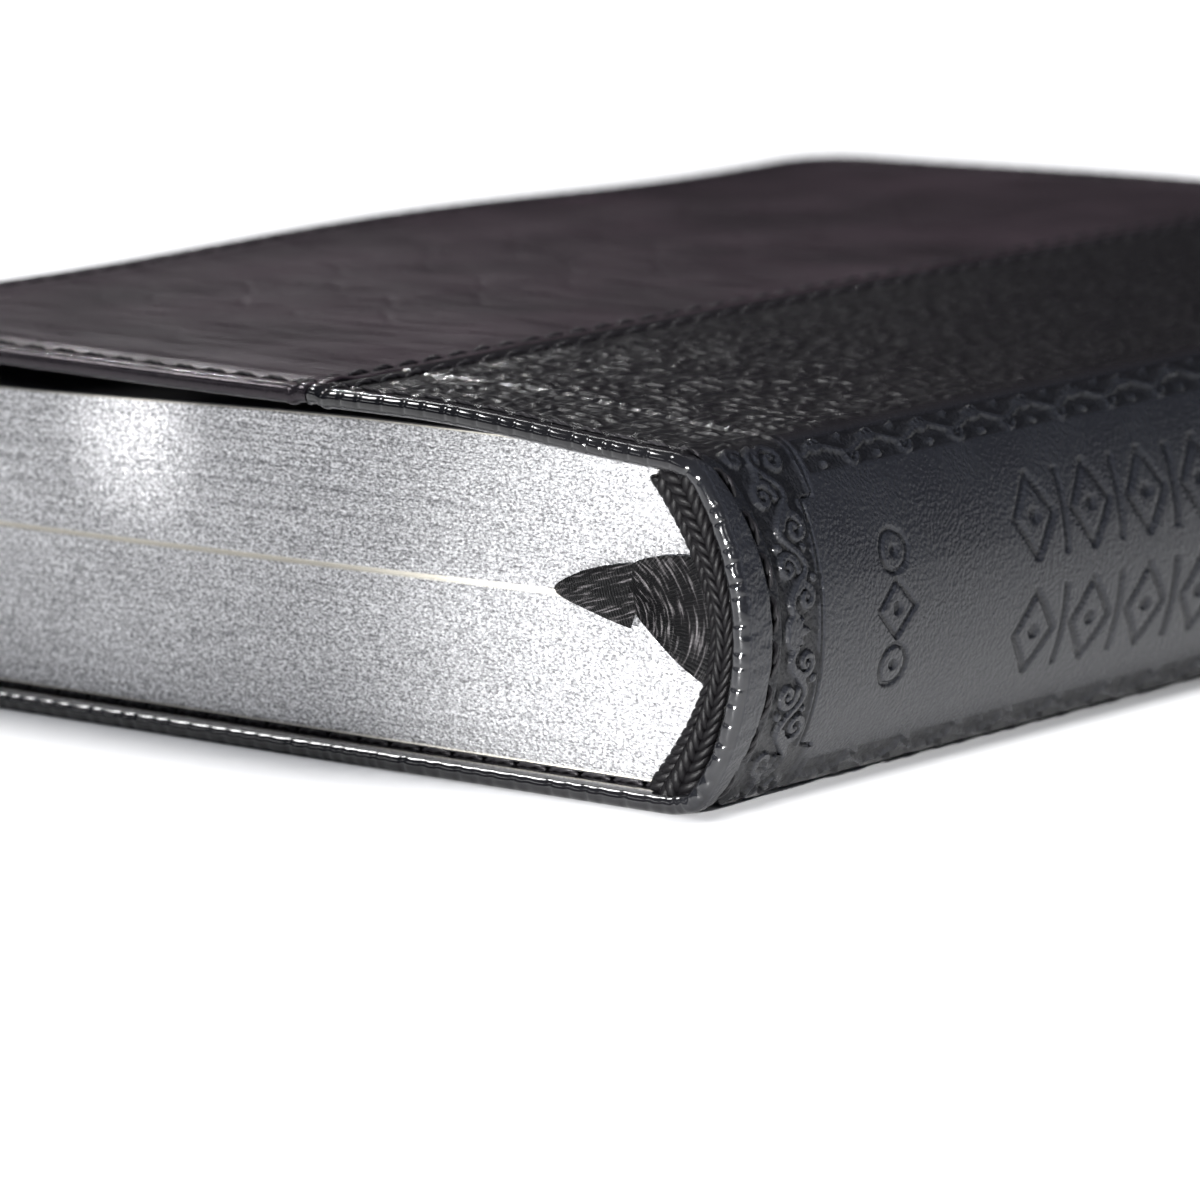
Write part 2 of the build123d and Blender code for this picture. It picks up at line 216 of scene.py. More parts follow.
def cap_strokes():
    """Scroll band between the cap's stitching and the rule, drawn about the spine's middle line."""
    q = np.linspace(1.4, 17.4, 60)
    vine = np.stack([q, 8.9 + 1.25 * np.sin(q * 0.95 + 2.4)], -1)
    right = [
        (vine, np.full(60, 0.34)),
        volute(2.9, 9.7, 1.35, -60, 1),
        volute(5.7, 7.7, 1.4, 100, -1),
        volute(9.0, 9.9, 1.75, -80, 1),
        volute(12.3, 7.2, 1.65, 95, -1),
        volute(15.6, 10.6, 1.9, -85, 1),
        volute(16.4, 6.0, 1.3, 60, -1),
        bead(4.5, 11.0, 0.42),
        bead(7.3, 10.4, 0.36),
        bead(10.9, 9.7, 0.4),
        bead(7.6, 6.9, 0.4),
        bead(14.3, 7.6, 0.45),
    ]
    petals = []
    for turn in (-68, -34, 0, 34, 68):
        t = np.linspace(0, 1, 12)
        reach = 2.5 - 0.012 * abs(turn)
        lean = math.radians(turn)
        points = np.stack([reach * t * math.sin(lean), 7.0 + reach * 1.25 * t * math.cos(lean)], -1)
        petals.append((points, 0.5 * np.sin(math.pi * (0.12 + 0.86 * t)) + 0.03))
    return mirrored(right) + petals


def rule_strokes():
    """Thin sunk rule that closes the scroll band, stepped outward near both shoulders."""
    path = np.array([[0, 12.0], [11.4, 12.2], [11.6, 14.0], [18.5, 14.4]])
    return mirrored([(path, np.full(4, 0.17))])


def side_strip_strokes():
    """Running scrolls along one long edge of the spine, one period of eight millimetres, repeated."""
    strokes = []
    length = HALF - 15.5
    t = np.linspace(0, 1, 240)
    vine = np.stack([15.4 + 0.55 * np.sin(t * length * 2 * math.pi / 8.0), 15.5 + t * length], -1)
    strokes.append((vine, np.full(240, 0.26)))
    for index in range(int(length / 4.0)):
        hand = 1 if index % 2 else -1
        strokes.append(volute(15.4 - 0.9 * hand, 17.5 + 4.0 * index, 1.05, 90 * hand, hand, 1.2, 0.34))
        strokes.append(bead(15.4 + 1.25 * hand, 17.5 + 4.0 * index, 0.36))
    return mirrored(strokes)


def closed_outline(points, width):
    points = np.array(list(points) + [points[0]], float)
    return points, np.full(len(points), width)


def ring(cx, cy, radius, width, count=28):
    angles = np.linspace(0, 2 * math.pi, count, endpoint=False)
    return closed_outline([(cx + radius * math.cos(a), cy + radius * math.sin(a)) for a in angles], width)


def lozenge(cx, cy, across, along, width):
    corners = [(cx - across, cy), (cx, cy - along), (cx + across, cy), (cx, cy + along)]
    return closed_outline(corners, width)


def spine_panel_strokes():
    """Plain geometric ornament on the spine: a ring, a lozenge and a ring, then two rows of lozenges and bars."""
    strokes = [lozenge(0, 23.2, 2.6, 2.7, 0.26), ring(-5.2, 23.2, 1.9, 0.24), ring(5.2, 23.2, 1.9, 0.24)]
    strokes += [bead(0, 23.2, 0.6), bead(-5.2, 23.2, 0.5), bead(5.2, 23.2, 0.5)]
    for row in (-5.4, 5.4):
        for index in range(5):
            u = 45.0 + 9.0 * index
            strokes.append(lozenge(row, u, 3.9, 3.0, 0.36))
            strokes.append((np.array([[row - 3.7, u + 4.5], [row + 3.7, u + 4.5]]), np.full(2, 0.36)))
            strokes.append(bead(row, u, 0.7))
    return strokes


CAP = cap_strokes()
RULE = rule_strokes()
STRIP = side_strip_strokes()
PANEL = spine_panel_strokes()


def spine_relief(s, y):
    """Height of the tooled ornament on the spine, and a mask of the sunk ground round it, which the leather's
    colour darkens as painted shade.
    """
    q = s - ARC / 2
    u = HALF - np.abs(y)
    band_start = stitch_inset(s) + 0.75
    cap = stroke_depth(q, u, CAP, 0.16)
    step = np.where(np.abs(q) > 11.5, 14.1, 12.1)
    ground = smooth((u - band_start) / 0.3) * smooth((step - 0.35 - u) / 0.3)
    height = ground * (-0.2 + 0.42 * cap)
    height = height - 0.34 * stroke_depth(q, u, RULE, 0.14)
    strip = stroke_depth(q, u, STRIP, 0.16)
    strip_ground = smooth((u - 15.0) / 0.3) * smooth((np.abs(q) - 13.4) / 0.25) * smooth((17.4 - np.abs(q)) / 0.25)
    height = height + strip_ground * (-0.18 + 0.4 * strip)
    panel = stroke_depth(q, u, PANEL, 0.18)
    return height - 0.3 * panel, np.clip(ground * (1 - cap) + strip_ground * (1 - strip), 0, 1)


def leather_relief(s, y, kind):
    """Height of the finished leather over its smooth surface, and a mask of the sunk, worked ground, which the
    leather's colour darkens as painted shade.
    """
    edge = edge_distance(s, y)
    inset = stitch_inset(s)
    groove = np.exp(-(((edge - inset) / 0.42) ** 2))
    height = -0.3 * groove
    bead_zone = smooth(edge / 0.9) * smooth((inset - 0.5 - edge) / 0.9)
    on_spine = smooth((s + 1.0) / 3.0) * smooth((ARC + 1.0 - s) / 3.0)
    height = height + bead_zone * (0.10 + 0.42 * on_spine)
    crease = np.sin(s * 2.1 + 1.7 * np.sin(s * 0.7)) * np.sin(edge * 1.1 + 0.6 * s)
    height = height + 0.07 * bead_zone * on_spine * np.clip(crease, -1, 0.3)
    ground = np.zeros_like(s)
    if kind in ("embossed", "spine", "back"):
        ornament, ground = spine_relief(s, y)
        height = height + ornament
    if kind in ("embossed", "back"):
        off_spine = smooth((-0.6 - s) / 1.2) if kind == "embossed" else smooth((s - ARC - 0.6) / 1.2)
        zone = off_spine * smooth((edge - inset - 0.9) / 0.6)
        if kind == "embossed":
            zone = zone * smooth((s - SEAM_S - 2.9) / 0.6)
        leaves = leaf_field(s, y, 2.05, 1.15, 0.42, 3)
        grains = leaf_field(s + 0.7, y - 0.3, 1.05, 0.42, 0.33, 11)
        pattern = np.maximum(0.2 * leaves, 0.1 * grains)
        height = height + zone * (pattern - 0.05)
        ground = np.maximum(ground, zone * (1 - np.maximum(leaves, 0.5 * grains)))
    if kind in ("embossed", "plain"):
        for row in (SEAM_S - SEAM_ROW, SEAM_S + SEAM_ROW):
            height = height - 0.2 * np.exp(-(((s - row) / 0.4) ** 2)) * smooth((edge - 0.4) / 0.8)
        height = height + 0.2 * smooth((1.7 - np.abs(s - SEAM_S)) / 0.8)
        height = height - 0.14 * np.exp(-(((s - SEAM_S) / 0.16) ** 2))
    if kind == "plain":
        ridge = np.exp(-(((edge - 5.3) / 1.25) ** 2)) - 0.6 * np.exp(-(((edge - 8.6) / 2.4) ** 2))
        height = height + 0.24 * ridge
        row = np.abs(np.abs(s + 78.0) - 9.0)
        cell = np.abs((y / 14.0) % 1.0 - 0.5) * 14.0
        outline = np.abs(row / 6.0 + cell / 6.2 - 1.0)
        faint = smooth(1 - outline / 0.1) * smooth((52 - np.abs(y)) / 2)
        height = height - 0.1 * faint
        wrinkle = np.sin(s * 0.21 + y * 0.07) * np.sin(y * 0.11 - s * 0.05 + 1.0)
        height = height + 0.12 * wrinkle * smooth((edge - 6) / 8)
    return height, ground


def rim_crack(p, seed, amount):
    """Depth of the cracks across a rolled rim at distance p along it."""
    generator = np.random.default_rng(seed)
    marks = np.cumsum(generator.uniform(1.1, 2.7, 260)) - 180.0
    depths = generator.uniform(0.5, 1.0, 260)
    index = np.clip(np.searchsorted(marks, p), 1, len(marks) - 1)
    left, right = p - marks[index - 1], marks[index] - p
    nearest = np.minimum(left, right)
    depth = np.where(left < right, depths[index - 1], depths[index])
    puff = np.sin(math.pi * np.clip(left / np.maximum(left + right, 1e-6), 0, 1))
    return amount * (depth * np.exp(-((nearest / 0.16) ** 2)) - 0.25 * puff)


# ---------------------------------------------------------------- meshes
def make(name, points, faces, material, uv=None, masks=None, sharp=None):
    mesh = bpy.data.meshes.new(name)
    mesh.from_pydata((np.asarray(points, float) * MM).tolist(), [], faces)
    mesh.update()
    mesh.polygons.foreach_set("use_smooth", np.ones(len(mesh.polygons), bool))
    if sharp:
        mesh.set_sharp_from_angle(angle=math.radians(sharp))
    if uv is not None:
        layer = mesh.uv_layers.new(name="Flat")
        corner = np.zeros(len(mesh.loops), np.int32)
        mesh.loops.foreach_get("vertex_index", corner)
        layer.data.foreach_set("uv", (np.asarray(uv, float)[corner] / 100.0).astype(np.float32).ravel())
    for key, values in (masks or {}).items():
        attribute = mesh.attributes.new(key, "FLOAT", "POINT")
        attribute.data.foreach_set("value", np.asarray(values, np.float32))
    mesh.materials.append(material)
    obj = bpy.data.objects.new(name, mesh)
    bpy.context.scene.collection.objects.link(obj)
    return obj


def grid_faces(rows, columns, first=0):
    i, j = np.meshgrid(np.arange(rows - 1), np.arange(columns - 1), indexing="ij")
    a = (first + i * columns + j).ravel()
    return np.stack([a, a + 1, a + columns + 1, a + columns], -1).tolist()


def rim_loop(rows, columns):
    """Row and column of each point round a grid's edge, in order."""
    i, j = np.arange(rows), np.arange(columns)
    head, tail = np.zeros(columns, int), np.full(columns - 1, rows - 1)
    east, west = np.full(rows - 1, columns - 1), np.zeros(rows - 2, int)
    return np.concatenate([head, i[1:], tail, i[-2:0:-1]]), np.concatenate([j, east, j[-2::-1], west])


def ring_faces(upper, lower):
    """Faces between two closed loops of vertex numbers."""
    return np.stack([upper, lower, np.roll(lower, -1), np.roll(upper, -1)], -1).tolist()


def slab_faces(rows, columns):
    """Faces of a closed thin sheet: a top grid, a grid under it and the edge between them."""
    under = rows * columns
    faces = grid_faces(rows, columns) + [face[::-1] for face in grid_faces(rows, columns, under)]
    i, j = rim_loop(rows, columns)
    top = i * columns + j
    return faces + ring_faces(top, top + under)


def settle(obj, motion, slot, *nodes):
    """Give a piece its motion (a body to ride on, or a function to call on it) and hide the CAD nodes it replaces;
    slot is not used.
    """
    if callable(motion):
        motion(obj)
    else:
        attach(obj, motion)
    if nodes:
        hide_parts(*nodes)


def graded(low, high, steps):
    """Lines from low to high whose spacing follows (distance from low, spacing) pairs."""
    lines, at = [low], low
    while at < high:
        at += np.interp(at - low, [p for p, _ in steps], [q for _, q in steps])
        lines.append(at)
    lines = np.array(lines)
    return low + (lines - low) * (high - low) / (lines[-1] - low)


def side_curve(y, edge_s, sign, corner, half):
    """s of a free side with rounded corners, and the outward direction there."""
    over = np.maximum(np.abs(y) - (half - corner), 0)
    run = np.sqrt(np.maximum(corner**2 - over**2, 0))
    s = edge_s - sign * (corner - run)
    return s, np.stack([sign * run, np.sign(y) * over], -1) / corner


def sheet(name, left, right, y, columns, kind, thickness, material, lift=0.0, crack=0.0, seed=1):
    """A closed leather sheet with rolled free edges. left and right are (s at each row, outward or None)."""
    left_s, left_out = left
    right_s, right_out = right
    t = np.linspace(0, 1, columns)
    s = left_s[:, None] + (right_s - left_s)[:, None] * t[None]
    yy = np.repeat(y[:, None], columns, 1)
    if kind == "lining":
        height, ground = np.zeros_like(s), np.zeros_like(s)
    else:
        height, ground = leather_relief(s, yy, kind)
    rows = len(y)
    top, tangent, normal = leather_point(s, yy, height + lift)
    points = [top.reshape(-1, 3)]
    uv = [np.stack([s, yy], -1).reshape(-1, 2)]
    rim = [smooth((0.9 - edge_distance(s, yy)) / 0.6).ravel()]
    grounds = [ground.ravel()]
    faces = grid_faces(rows, columns)
    i, j = rim_loop(rows, columns)
    out = np.zeros((len(i), 2))
    if right_out is not None:
        east = (j == columns - 1) & (i > 0)
        out[east] = right_out[i[east]]
    if left_out is not None:
        west = (j == 0) & (i > 0)
        out[west] = left_out[i[west]]
    out[i == 0] = (0, -1)
    out[(i == rows - 1) & (j < columns - 1)] = (0, 1)
    radius = thickness / 2
    outward = out[:, :1] * tangent[i, j] + out[:, 1:] * np.array([0.0, 1.0, 0.0])
    along = np.where(np.abs(out[:, 1]) > 0.7, s[i, j], yy[i, j])
    cracks = rim_crack(along, seed, crack) if crack else np.zeros(len(i))
    if crack and kind == "plain":
        cracks = cracks * 0.25
    previous = i * columns + j
    rings = 9
    for k in range(1, rings + 1):
        phi = math.pi * k / rings
        bulge = radius * (1 - cracks * math.sin(phi))
        point = (
            top[i, j]
            + outward * (bulge * math.sin(phi))[:, None]
            - normal[i, j] * (radius * (1 - math.cos(phi)) + cracks * 0.4 * math.sin(phi) ** 2)[:, None]
        )
        first = sum(len(p) for p in points)
        points.append(point)
        uv.append(np.stack([s[i, j], yy[i, j]], -1) + out * (radius * phi))
        rim.append(np.ones(len(i)))
        # The rim cracks go into the ground mask too, so they get the same painted shade.
        grounds.append(np.clip(cracks / max(crack, 1e-6), 0, 1) * (1 if crack else 0))
        now = first + np.arange(len(i))
        faces += ring_faces(previous, now)
        previous = now
    ring_of = {(row, column): int(v) for row, column, v in zip(i, j, previous)}
    for col in range(columns - 1):
        a, b = ring_of[(0, col)], ring_of[(0, col + 1)]
        c, d = ring_of[(rows - 1, col + 1)], ring_of[(rows - 1, col)]
        if col == 0:
            inner = [ring_of[(row, 0)] for row in range(1, rows - 1)]
            faces.append([b, a] + inner + [d, c])
        elif col == columns - 2:
            inner = [ring_of[(row, columns - 1)] for row in range(rows - 2, 0, -1)]
            faces.append([b, a, d, c] + inner)
        else:
            faces.append([b, a, d, c])
    flat = np.concatenate(uv)
    on_spine = smooth((flat[:, 0] + 1.5) / 3.0) * smooth((ARC + 1.5 - flat[:, 0]) / 3.0)
    masks = {"Rim": np.concatenate(rim), "Sunk_Ground_Shade": np.concatenate(grounds), "Spine": on_spine}
    return make(name, np.concatenate(points), faces, material, flat, masks, sharp=66)


def straight(s, y):
    return np.full(len(y), float(s)), None


# ---------------------------------------------------------------- materials
class Nodes:
    """A few short ways to build a node tree."""

    def __init__(self, tree):
        self.tree = tree

    def node(self, kind, **settings):
        node = self.tree.nodes.new(kind)
        for key, value in settings.items():
            setattr(node, key, value)
        return node

    def link(self, a, b):
        self.tree.links.new(a, b)

    def feed(self, socket, value):
        if isinstance(value, bpy.types.NodeSocket):
            self.link(value, socket)
        else:
            socket.default_value = value

    def math(self, operation, a, b=0.0, clamp=False):
        node = self.node("ShaderNodeMath", operation=operation, use_clamp=clamp)
        self.feed(node.inputs[0], a)
        self.feed(node.inputs[1], b)
        return node.outputs[0]

    def times(self, a, b):
        return self.math("MULTIPLY", a, b)

    def ranged(self, value, low, high, to_low=0.0, to_high=1.0):
        node = self.node("ShaderNodeMapRange")
        self.feed(node.inputs[0], value)
        for slot, number in zip((1, 2, 3, 4), (low, high, to_low, to_high)):
            node.inputs[slot].default_value = number
        return node.outputs[0]

    def mix(self, share, a, b):
        node = self.node("ShaderNodeMix", data_type="RGBA")
        self.feed(node.inputs["Factor"], share)
        for slot, color in ((6, a), (7, b)):
            self.feed(node.inputs[slot], (*color, 1.0) if isinstance(color, tuple) else color)
        return node.outputs[2]

    def ramp(self, value, stops):
        """Colour by value, from (position, colour) stops."""
        node = self.node("ShaderNodeValToRGB")
        elements = node.color_ramp.elements
        for element, (at, color) in zip(elements, (stops[0], stops[-1])):
            element.position, element.color = at, (*color, 1)
        for at, color in stops[1:-1]:
            elements.new(at).color = (*color, 1)
        self.link(value, node.inputs[0])
        return node.outputs[0]


class Graph(Nodes):
    """A material's nodes."""

    def __init__(self, name):
        self.material = bpy.data.materials.new(name)
        self.material.use_nodes = True
        super().__init__(self.material.node_tree)
        self.shader = self.tree.nodes["Principled BSDF"]

    def flat(self, scale):
        """Leather coordinates in millimetres times scale, one number or one for each direction."""
        across, along = scale if isinstance(scale, tuple) else (scale, scale)
        uv = self.node("ShaderNodeUVMap", uv_map="Flat")
        mapping = self.node("ShaderNodeMapping")
        mapping.inputs["Scale"].default_value = (100 * across, 100 * along, 1)
        self.link(uv.outputs[0], mapping.inputs["Vector"])
        return mapping.outputs[0]

    def solid(self, x, y, z):
        """Object coordinates in millimetres, times a scale for each axis."""
        place = self.node("ShaderNodeTexCoord")
        mapping = self.node("ShaderNodeMapping")
        mapping.inputs["Scale"].default_value = (x / MM, y / MM, z / MM)
        self.link(place.outputs["Object"], mapping.inputs["Vector"])
        return mapping.outputs[0]

    def noise(self, vector, detail=3.0, rough=0.55):
        node = self.node("ShaderNodeTexNoise")
        for key, value in (("Vector", vector), ("Scale", 1.0), ("Detail", detail), ("Roughness", rough)):
            self.feed(node.inputs[key], value)
        return node.outputs["Fac"]

    def cells(self, vector, feature="F1", randomness=1.0):
        node = self.node("ShaderNodeTexVoronoi", feature=feature)
        for key, value in (("Vector", vector), ("Scale", 1.0), ("Randomness", randomness)):
            self.feed(node.inputs[key], value)
        return node.outputs["Distance"]

    def attribute(self, name):
        return self.node("ShaderNodeAttribute", attribute_name=name).outputs["Fac"]

    def bump(self, height, distance_mm, strength=1.0, under=None):
        node = self.node("ShaderNodeBump")
        node.inputs["Strength"].default_value = strength
        node.inputs["Distance"].default_value = distance_mm * MM
        self.link(height, node.inputs["Height"])
        if under is not None:
            self.link(under, node.inputs["Normal"])
        return node.outputs[0]

    def finish(self, color, rough, normal=None, metallic=0.0, **extra):
        self.feed(self.shader.inputs["Base Color"], (*color, 1.0) if isinstance(color, tuple) else color)
        self.feed(self.shader.inputs["Roughness"], rough)
        self.feed(self.shader.inputs["Metallic"], metallic)
        if normal is not None:
            self.link(normal, self.shader.inputs["Normal"])
        for key, value in extra.items():
            self.feed(self.shader.inputs[key.replace("_", " ")], value)
        return self.material


def plain_leather():
    g = Graph("plain_leather")
    broad = g.noise(g.flat(0.05), 4)
    streak = g.noise(g.flat((0.09, 0.5)), 5, 0.6)
    pores = g.cells(g.flat(4.5))
    fine = g.noise(g.flat(7.0), 4, 0.65)
    rim = g.attribute("Rim")
    color = g.mix(g.ranged(broad, 0.3, 0.7, 0, 1), (0.0095, 0.0068, 0.0088), (0.031, 0.0215, 0.027))
    color = g.mix(g.times(rim, 0.8), color, (0.008, 0.0075, 0.009))
    rough = g.math("ADD", g.ranged(streak, 0.35, 0.65, 0.27, 0.46), g.times(rim, -0.2))
    normal = g.bump(pores, 0.03, 0.35)
    normal = g.bump(fine, 0.03, 0.45, normal)
    normal = g.bump(streak, 0.25, 0.25, normal)
    return g.finish(color, rough, normal, Specular_IOR_Level=0.34, Specular_Tint=(1.0, 0.86, 0.96, 1))


def tooled_leather():
    """The embossed side leather, which turns finer and duller over the spine."""
    g = Graph("tooled_leather")
    broad = g.noise(g.flat(0.12), 4)
    pebble = g.cells(g.flat(2.8), "SMOOTH_F1")
    fine = g.noise(g.flat(7.0), 4, 0.65)
    rim, ground, spine = g.attribute("Rim"), g.attribute("Sunk_Ground_Shade"), g.attribute("Spine")
    side_color = g.mix(broad, (0.0045, 0.004, 0.005), (0.0085, 0.0078, 0.009))
    spine_color = g.mix(broad, (0.008, 0.0085, 0.011), (0.014, 0.015, 0.0185))
    color = g.mix(spine, side_color, spine_color)
    # Painted shade: the sunk ground of the tooling and the rim cracks are darkened in the colour; the same mask
    # also makes them rougher, below.
    color = g.mix(g.times(ground, 0.6), color, (0.003, 0.003, 0.0035))
    color = g.mix(g.times(rim, 0.7), color, (0.004, 0.004, 0.0045))
    rough = g.math("ADD", g.ranged(broad, 0.3, 0.7, 0.19, 0.27), g.times(spine, 0.04))
    rough = g.math("ADD", rough, g.times(ground, 0.14))
    rough = g.math("ADD", rough, g.times(rim, -0.12), clamp=True)
    away = g.times(g.ranged(rim, 0, 1, 1.0, 0.12), g.ranged(spine, 0, 1, 0.3, 2.6))
    normal = g.bump(g.times(pebble, away), 0.11, 0.5)
    normal = g.bump(g.times(fine, away), 0.04, 0.6, normal)
    coat = g.ranged(rim, 0, 1, 0.16, 0.75)
    return g.finish(color, rough, normal, Coat_Weight=coat, Coat_Roughness=0.12, Specular_IOR_Level=0.3)


def thread(name, base, light, shine=0.35):
    g = Graph(name)
    fine = g.noise(g.solid(9, 9, 9), 3)
    color = g.mix(fine, base, light)
    normal = g.bump(fine, 0.05, 0.6)
    return g.finish(color, 0.42, normal, Specular_IOR_Level=shine)


def silver_edge():
    g = Graph("silver_page_edges")
    leaf_lines = g.noise(g.solid(0.05, 0.05, 6.5), 3, 0.7)
    broad_lines = g.noise(g.solid(0.012, 0.012, 2.2), 3, 0.6)
    wash = g.noise(g.solid(0.05, 0.05, 0.12), 3)
    glitter = g.noise(g.solid(2.6, 2.6, 4.2), 2.5, 0.75)
    grit = g.cells(g.solid(2.6, 2.6, 4.6))
    page = g.attribute("Page")
    bright = g.times(g.ranged(leaf_lines, 0.35, 0.65, 0.78, 1.0), g.ranged(broad_lines, 0.35, 0.65, 0.86, 1.0))
    bright = g.times(bright, g.ranged(wash, 0.3, 0.7, 0.86, 1.0))
    bright = g.times(bright, g.ranged(glitter, 0.38, 0.6, 0.3, 1.15))
    silver = g.mix(bright, (0.02, 0.02, 0.022), (0.86, 0.86, 0.875))
    sparkle = g.ranged(glitter, 0.58, 0.68, 0.0, 1.0)
    silver = g.mix(g.times(sparkle, 0.7), silver, (1.0, 1.0, 1.0))
    fibre = g.noise(g.solid(0.6, 0.6, 0.6), 5)
    paper = g.mix(fibre, (0.66, 0.62, 0.53), (0.72, 0.685, 0.595))
    color = g.mix(page, silver, paper)
    rough = g.ranged(glitter, 0.3, 0.7, 0.5, 0.34)
    rough = g.math("MAXIMUM", rough, g.times(page, 0.8))
    metallic = g.math("SUBTRACT", 0.82, page, clamp=True)
    strength = g.math("SUBTRACT", 1.0, page, clamp=True)
    normal = g.bump(g.times(leaf_lines, strength), 0.12, 0.7)
    normal = g.bump(g.times(grit, strength), 0.09, 0.8, normal)
    normal = g.bump(fibre, 0.02, 0.3, normal)
    return g.finish(color, rough, normal, metallic)


def paper(name, low, high, rough):
    g = Graph(name)
    fibre = g.noise(g.solid(0.7, 0.7, 0.7), 5, 0.65)
    fine = g.noise(g.solid(5, 5, 5), 3)
    normal = g.bump(fine, 0.02, 0.4)
    return g.finish(g.mix(fibre, low, high), rough, g.bump(fibre, 0.03, 0.3, normal))


def cloth(name, low, high):
    g = Graph(name)
    weave = g.cells(g.solid(2.2, 2.2, 2.2), "F1", 0.2)
    return g.finish(g.mix(weave, low, high), 0.85, g.bump(weave, 0.1, 0.6), Sheen_Weight=0.2)


def satin_ribbon():
    g = Graph("ribbon_satin")
    ribs = g.node("ShaderNodeTexWave", wave_type="BANDS", bands_direction="Y")
    for key, value in (("Scale", 0.55), ("Distortion", 1.2), ("Detail", 2.0), ("Detail Scale", 1.4)):
        ribs.inputs[key].default_value = value
    g.link(g.flat((0.9, 1.9)), ribs.inputs["Vector"])
    threads = g.noise(g.flat((4.4, 0.32)), 3)
    lint = g.noise(g.flat(3.5), 4, 0.7)
    # Threads of the weave, with the satin's sheen painted on them: the near-black colour turns light grey along
    # the threads, while the specular stays low.
    painted_thread_sheen = g.times(g.ranged(threads, 0.53, 0.75, 0, 1), g.ranged(lint, 0.3, 0.7, 0.3, 1.0))
    color = g.mix(painted_thread_sheen, (0.0006, 0.0006, 0.0008), (0.17, 0.16, 0.165))
    rough = g.ranged(ribs.outputs["Fac"], 0, 1, 0.6, 0.38)
    normal = g.bump(ribs.outputs["Fac"], 0.12, 0.8)
    normal = g.bump(threads, 0.12, 0.8, normal)
    return g.finish(color, rough, normal, Specular_IOR_Level=0.08)


PLAIN = plain_leather()
TOOLED = tooled_leather()
THREAD = thread("cover_thread", (0.006, 0.0055, 0.0065), (0.026, 0.024, 0.027))
BRAID = thread("end_band_silk", (0.0008, 0.0008, 0.001), (0.006, 0.0055, 0.0062), 0.12)
SILVER = silver_edge()
ENDPAPER = paper("endpaper_black", (0.016, 0.0155, 0.017), (0.026, 0.025, 0.027), 0.6)
LEAF = paper("leaf_paper", (0.66, 0.62, 0.53), (0.72, 0.685, 0.595), 0.8)
CARD = paper("card", (0.42, 0.36, 0.27), (0.55, 0.48, 0.37), 0.85)
MULL = cloth("mull_cloth", (0.5, 0.46, 0.37), (0.64, 0.6, 0.51))
SEWING = thread("sewing_thread", (0.7, 0.66, 0.58), (0.86, 0.83, 0.76))
RIBBON = satin_ribbon()

# ---------------------------------------------------------------- leather pieces
COVER_FOLD = ((FOLD_X + 2.2) * MM, 0, 0), ((FOLD_X - 4.5) * MM, 0, 0)


def bends(near, far, start, end):
    """A motion for settle that only bakes the piece's transform into its mesh; near, far, start and end are not
    used.
    """
    return lambda obj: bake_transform(obj)


blend_front = bends("front_half", "front_cover", *COVER_FOLD)
blend_back = bends("rear_half", "back_cover", *COVER_FOLD)
blend_opening = bends("rear_half", "front_half", (0, 0, (MID - 2.5) * MM), (0, 0, (MID + 2.5) * MM))

FINE = 1.0


def build_leather():
    radius = LEATHER / 2
    half, corner = HALF - radius, CORNER - radius

    def rows(*steps):
        """Lines from head to tail, from pairs of distance and spacing."""
        return graded(-half, half, [(at, gap / FINE) for at, gap in steps])

    def panel(name, left, right, y, columns, kind, material, crack, seed, motion, *nodes):
        piece = sheet(name, left, right, y, int(columns * FINE), kind, LEATHER, material, 0.0, crack, seed)
        slot = {"plain": "plain_leather", "spine": "spine_leather"}.get(kind, "embossed_leather")
        settle(piece, motion, slot, *nodes)

    y = rows((0, 0.28), (25, 0.34), (60, 0.6), (150, 0.6), (165, 0.35))
    edge = side_curve(y, -COVER_WIDTH + radius, -1, corner, half)
    panel("front_leather_plain_panel", edge, straight(SEAM_S, y), y, 230, "plain", PLAIN, 0.1, 2,
          "front_cover", "front_leather_plain", "front_board")
    y = rows((0, 0.24), (30, 0.3), (60, 0.5), (171, 0.5))
    panel("front_leather_embossed_panel", straight(SEAM_S, y), straight(FRONT_CUT_S, y), y, 225, "embossed",
          TOOLED, 0.22, 5, blend_front, "front_leather_embossed")
    y = rows((0, 0.15), (15, 0.17), (24, 0.26), (90, 0.5), (150, 0.4), (171, 0.25))
    panel("spine_leather_skin", straight(FRONT_CUT_S, y), straight(BACK_CUT_S, y), y, 155, "spine",
          TOOLED, 0.22, 5, blend_opening, "rear_spine_leather", "front_spine_leather")
    y = rows((0, 0.4), (20, 0.6), (150, 0.7), (165, 0.4))
    edge = side_curve(y, ARC + COVER_WIDTH - radius, 1, corner, half)
    panel("back_leather_wrap", straight(BACK_CUT_S, y), edge, y, 330, "back",
          TOOLED, 0.22, 5, blend_back, "back_leather", "back_board")


def build_linings():
    """The pasted-down black paper inside each cover."""
    inset, thickness, corner, hinge_gap, count = 4.6, 0.14, 5.0, 4.0, 60
    half = HALF - inset
    reach = COVER_WIDTH - inset
    y = np.linspace(-half, half, count)
    front = side_curve(y, -reach, -1, corner, half), straight(-hinge_gap, y)
    back = straight(ARC + hinge_gap, y), side_curve(y, ARC + reach, 1, corner, half)
    for end, (left, right) in (("front", front), ("back", back)):
        paper_sheet = sheet(
            f"{end}_pastedown_sheet", left, right, y, count, "lining", thickness, ENDPAPER, lift=0.04 - LEATHER
        )
        settle(paper_sheet, f"{end}_cover", "endpaper", f"{end}_pastedown")


# ---------------------------------------------------------------- stitching
STITCH_PITCH, STITCH_LENGTH = 3.6, 3.3


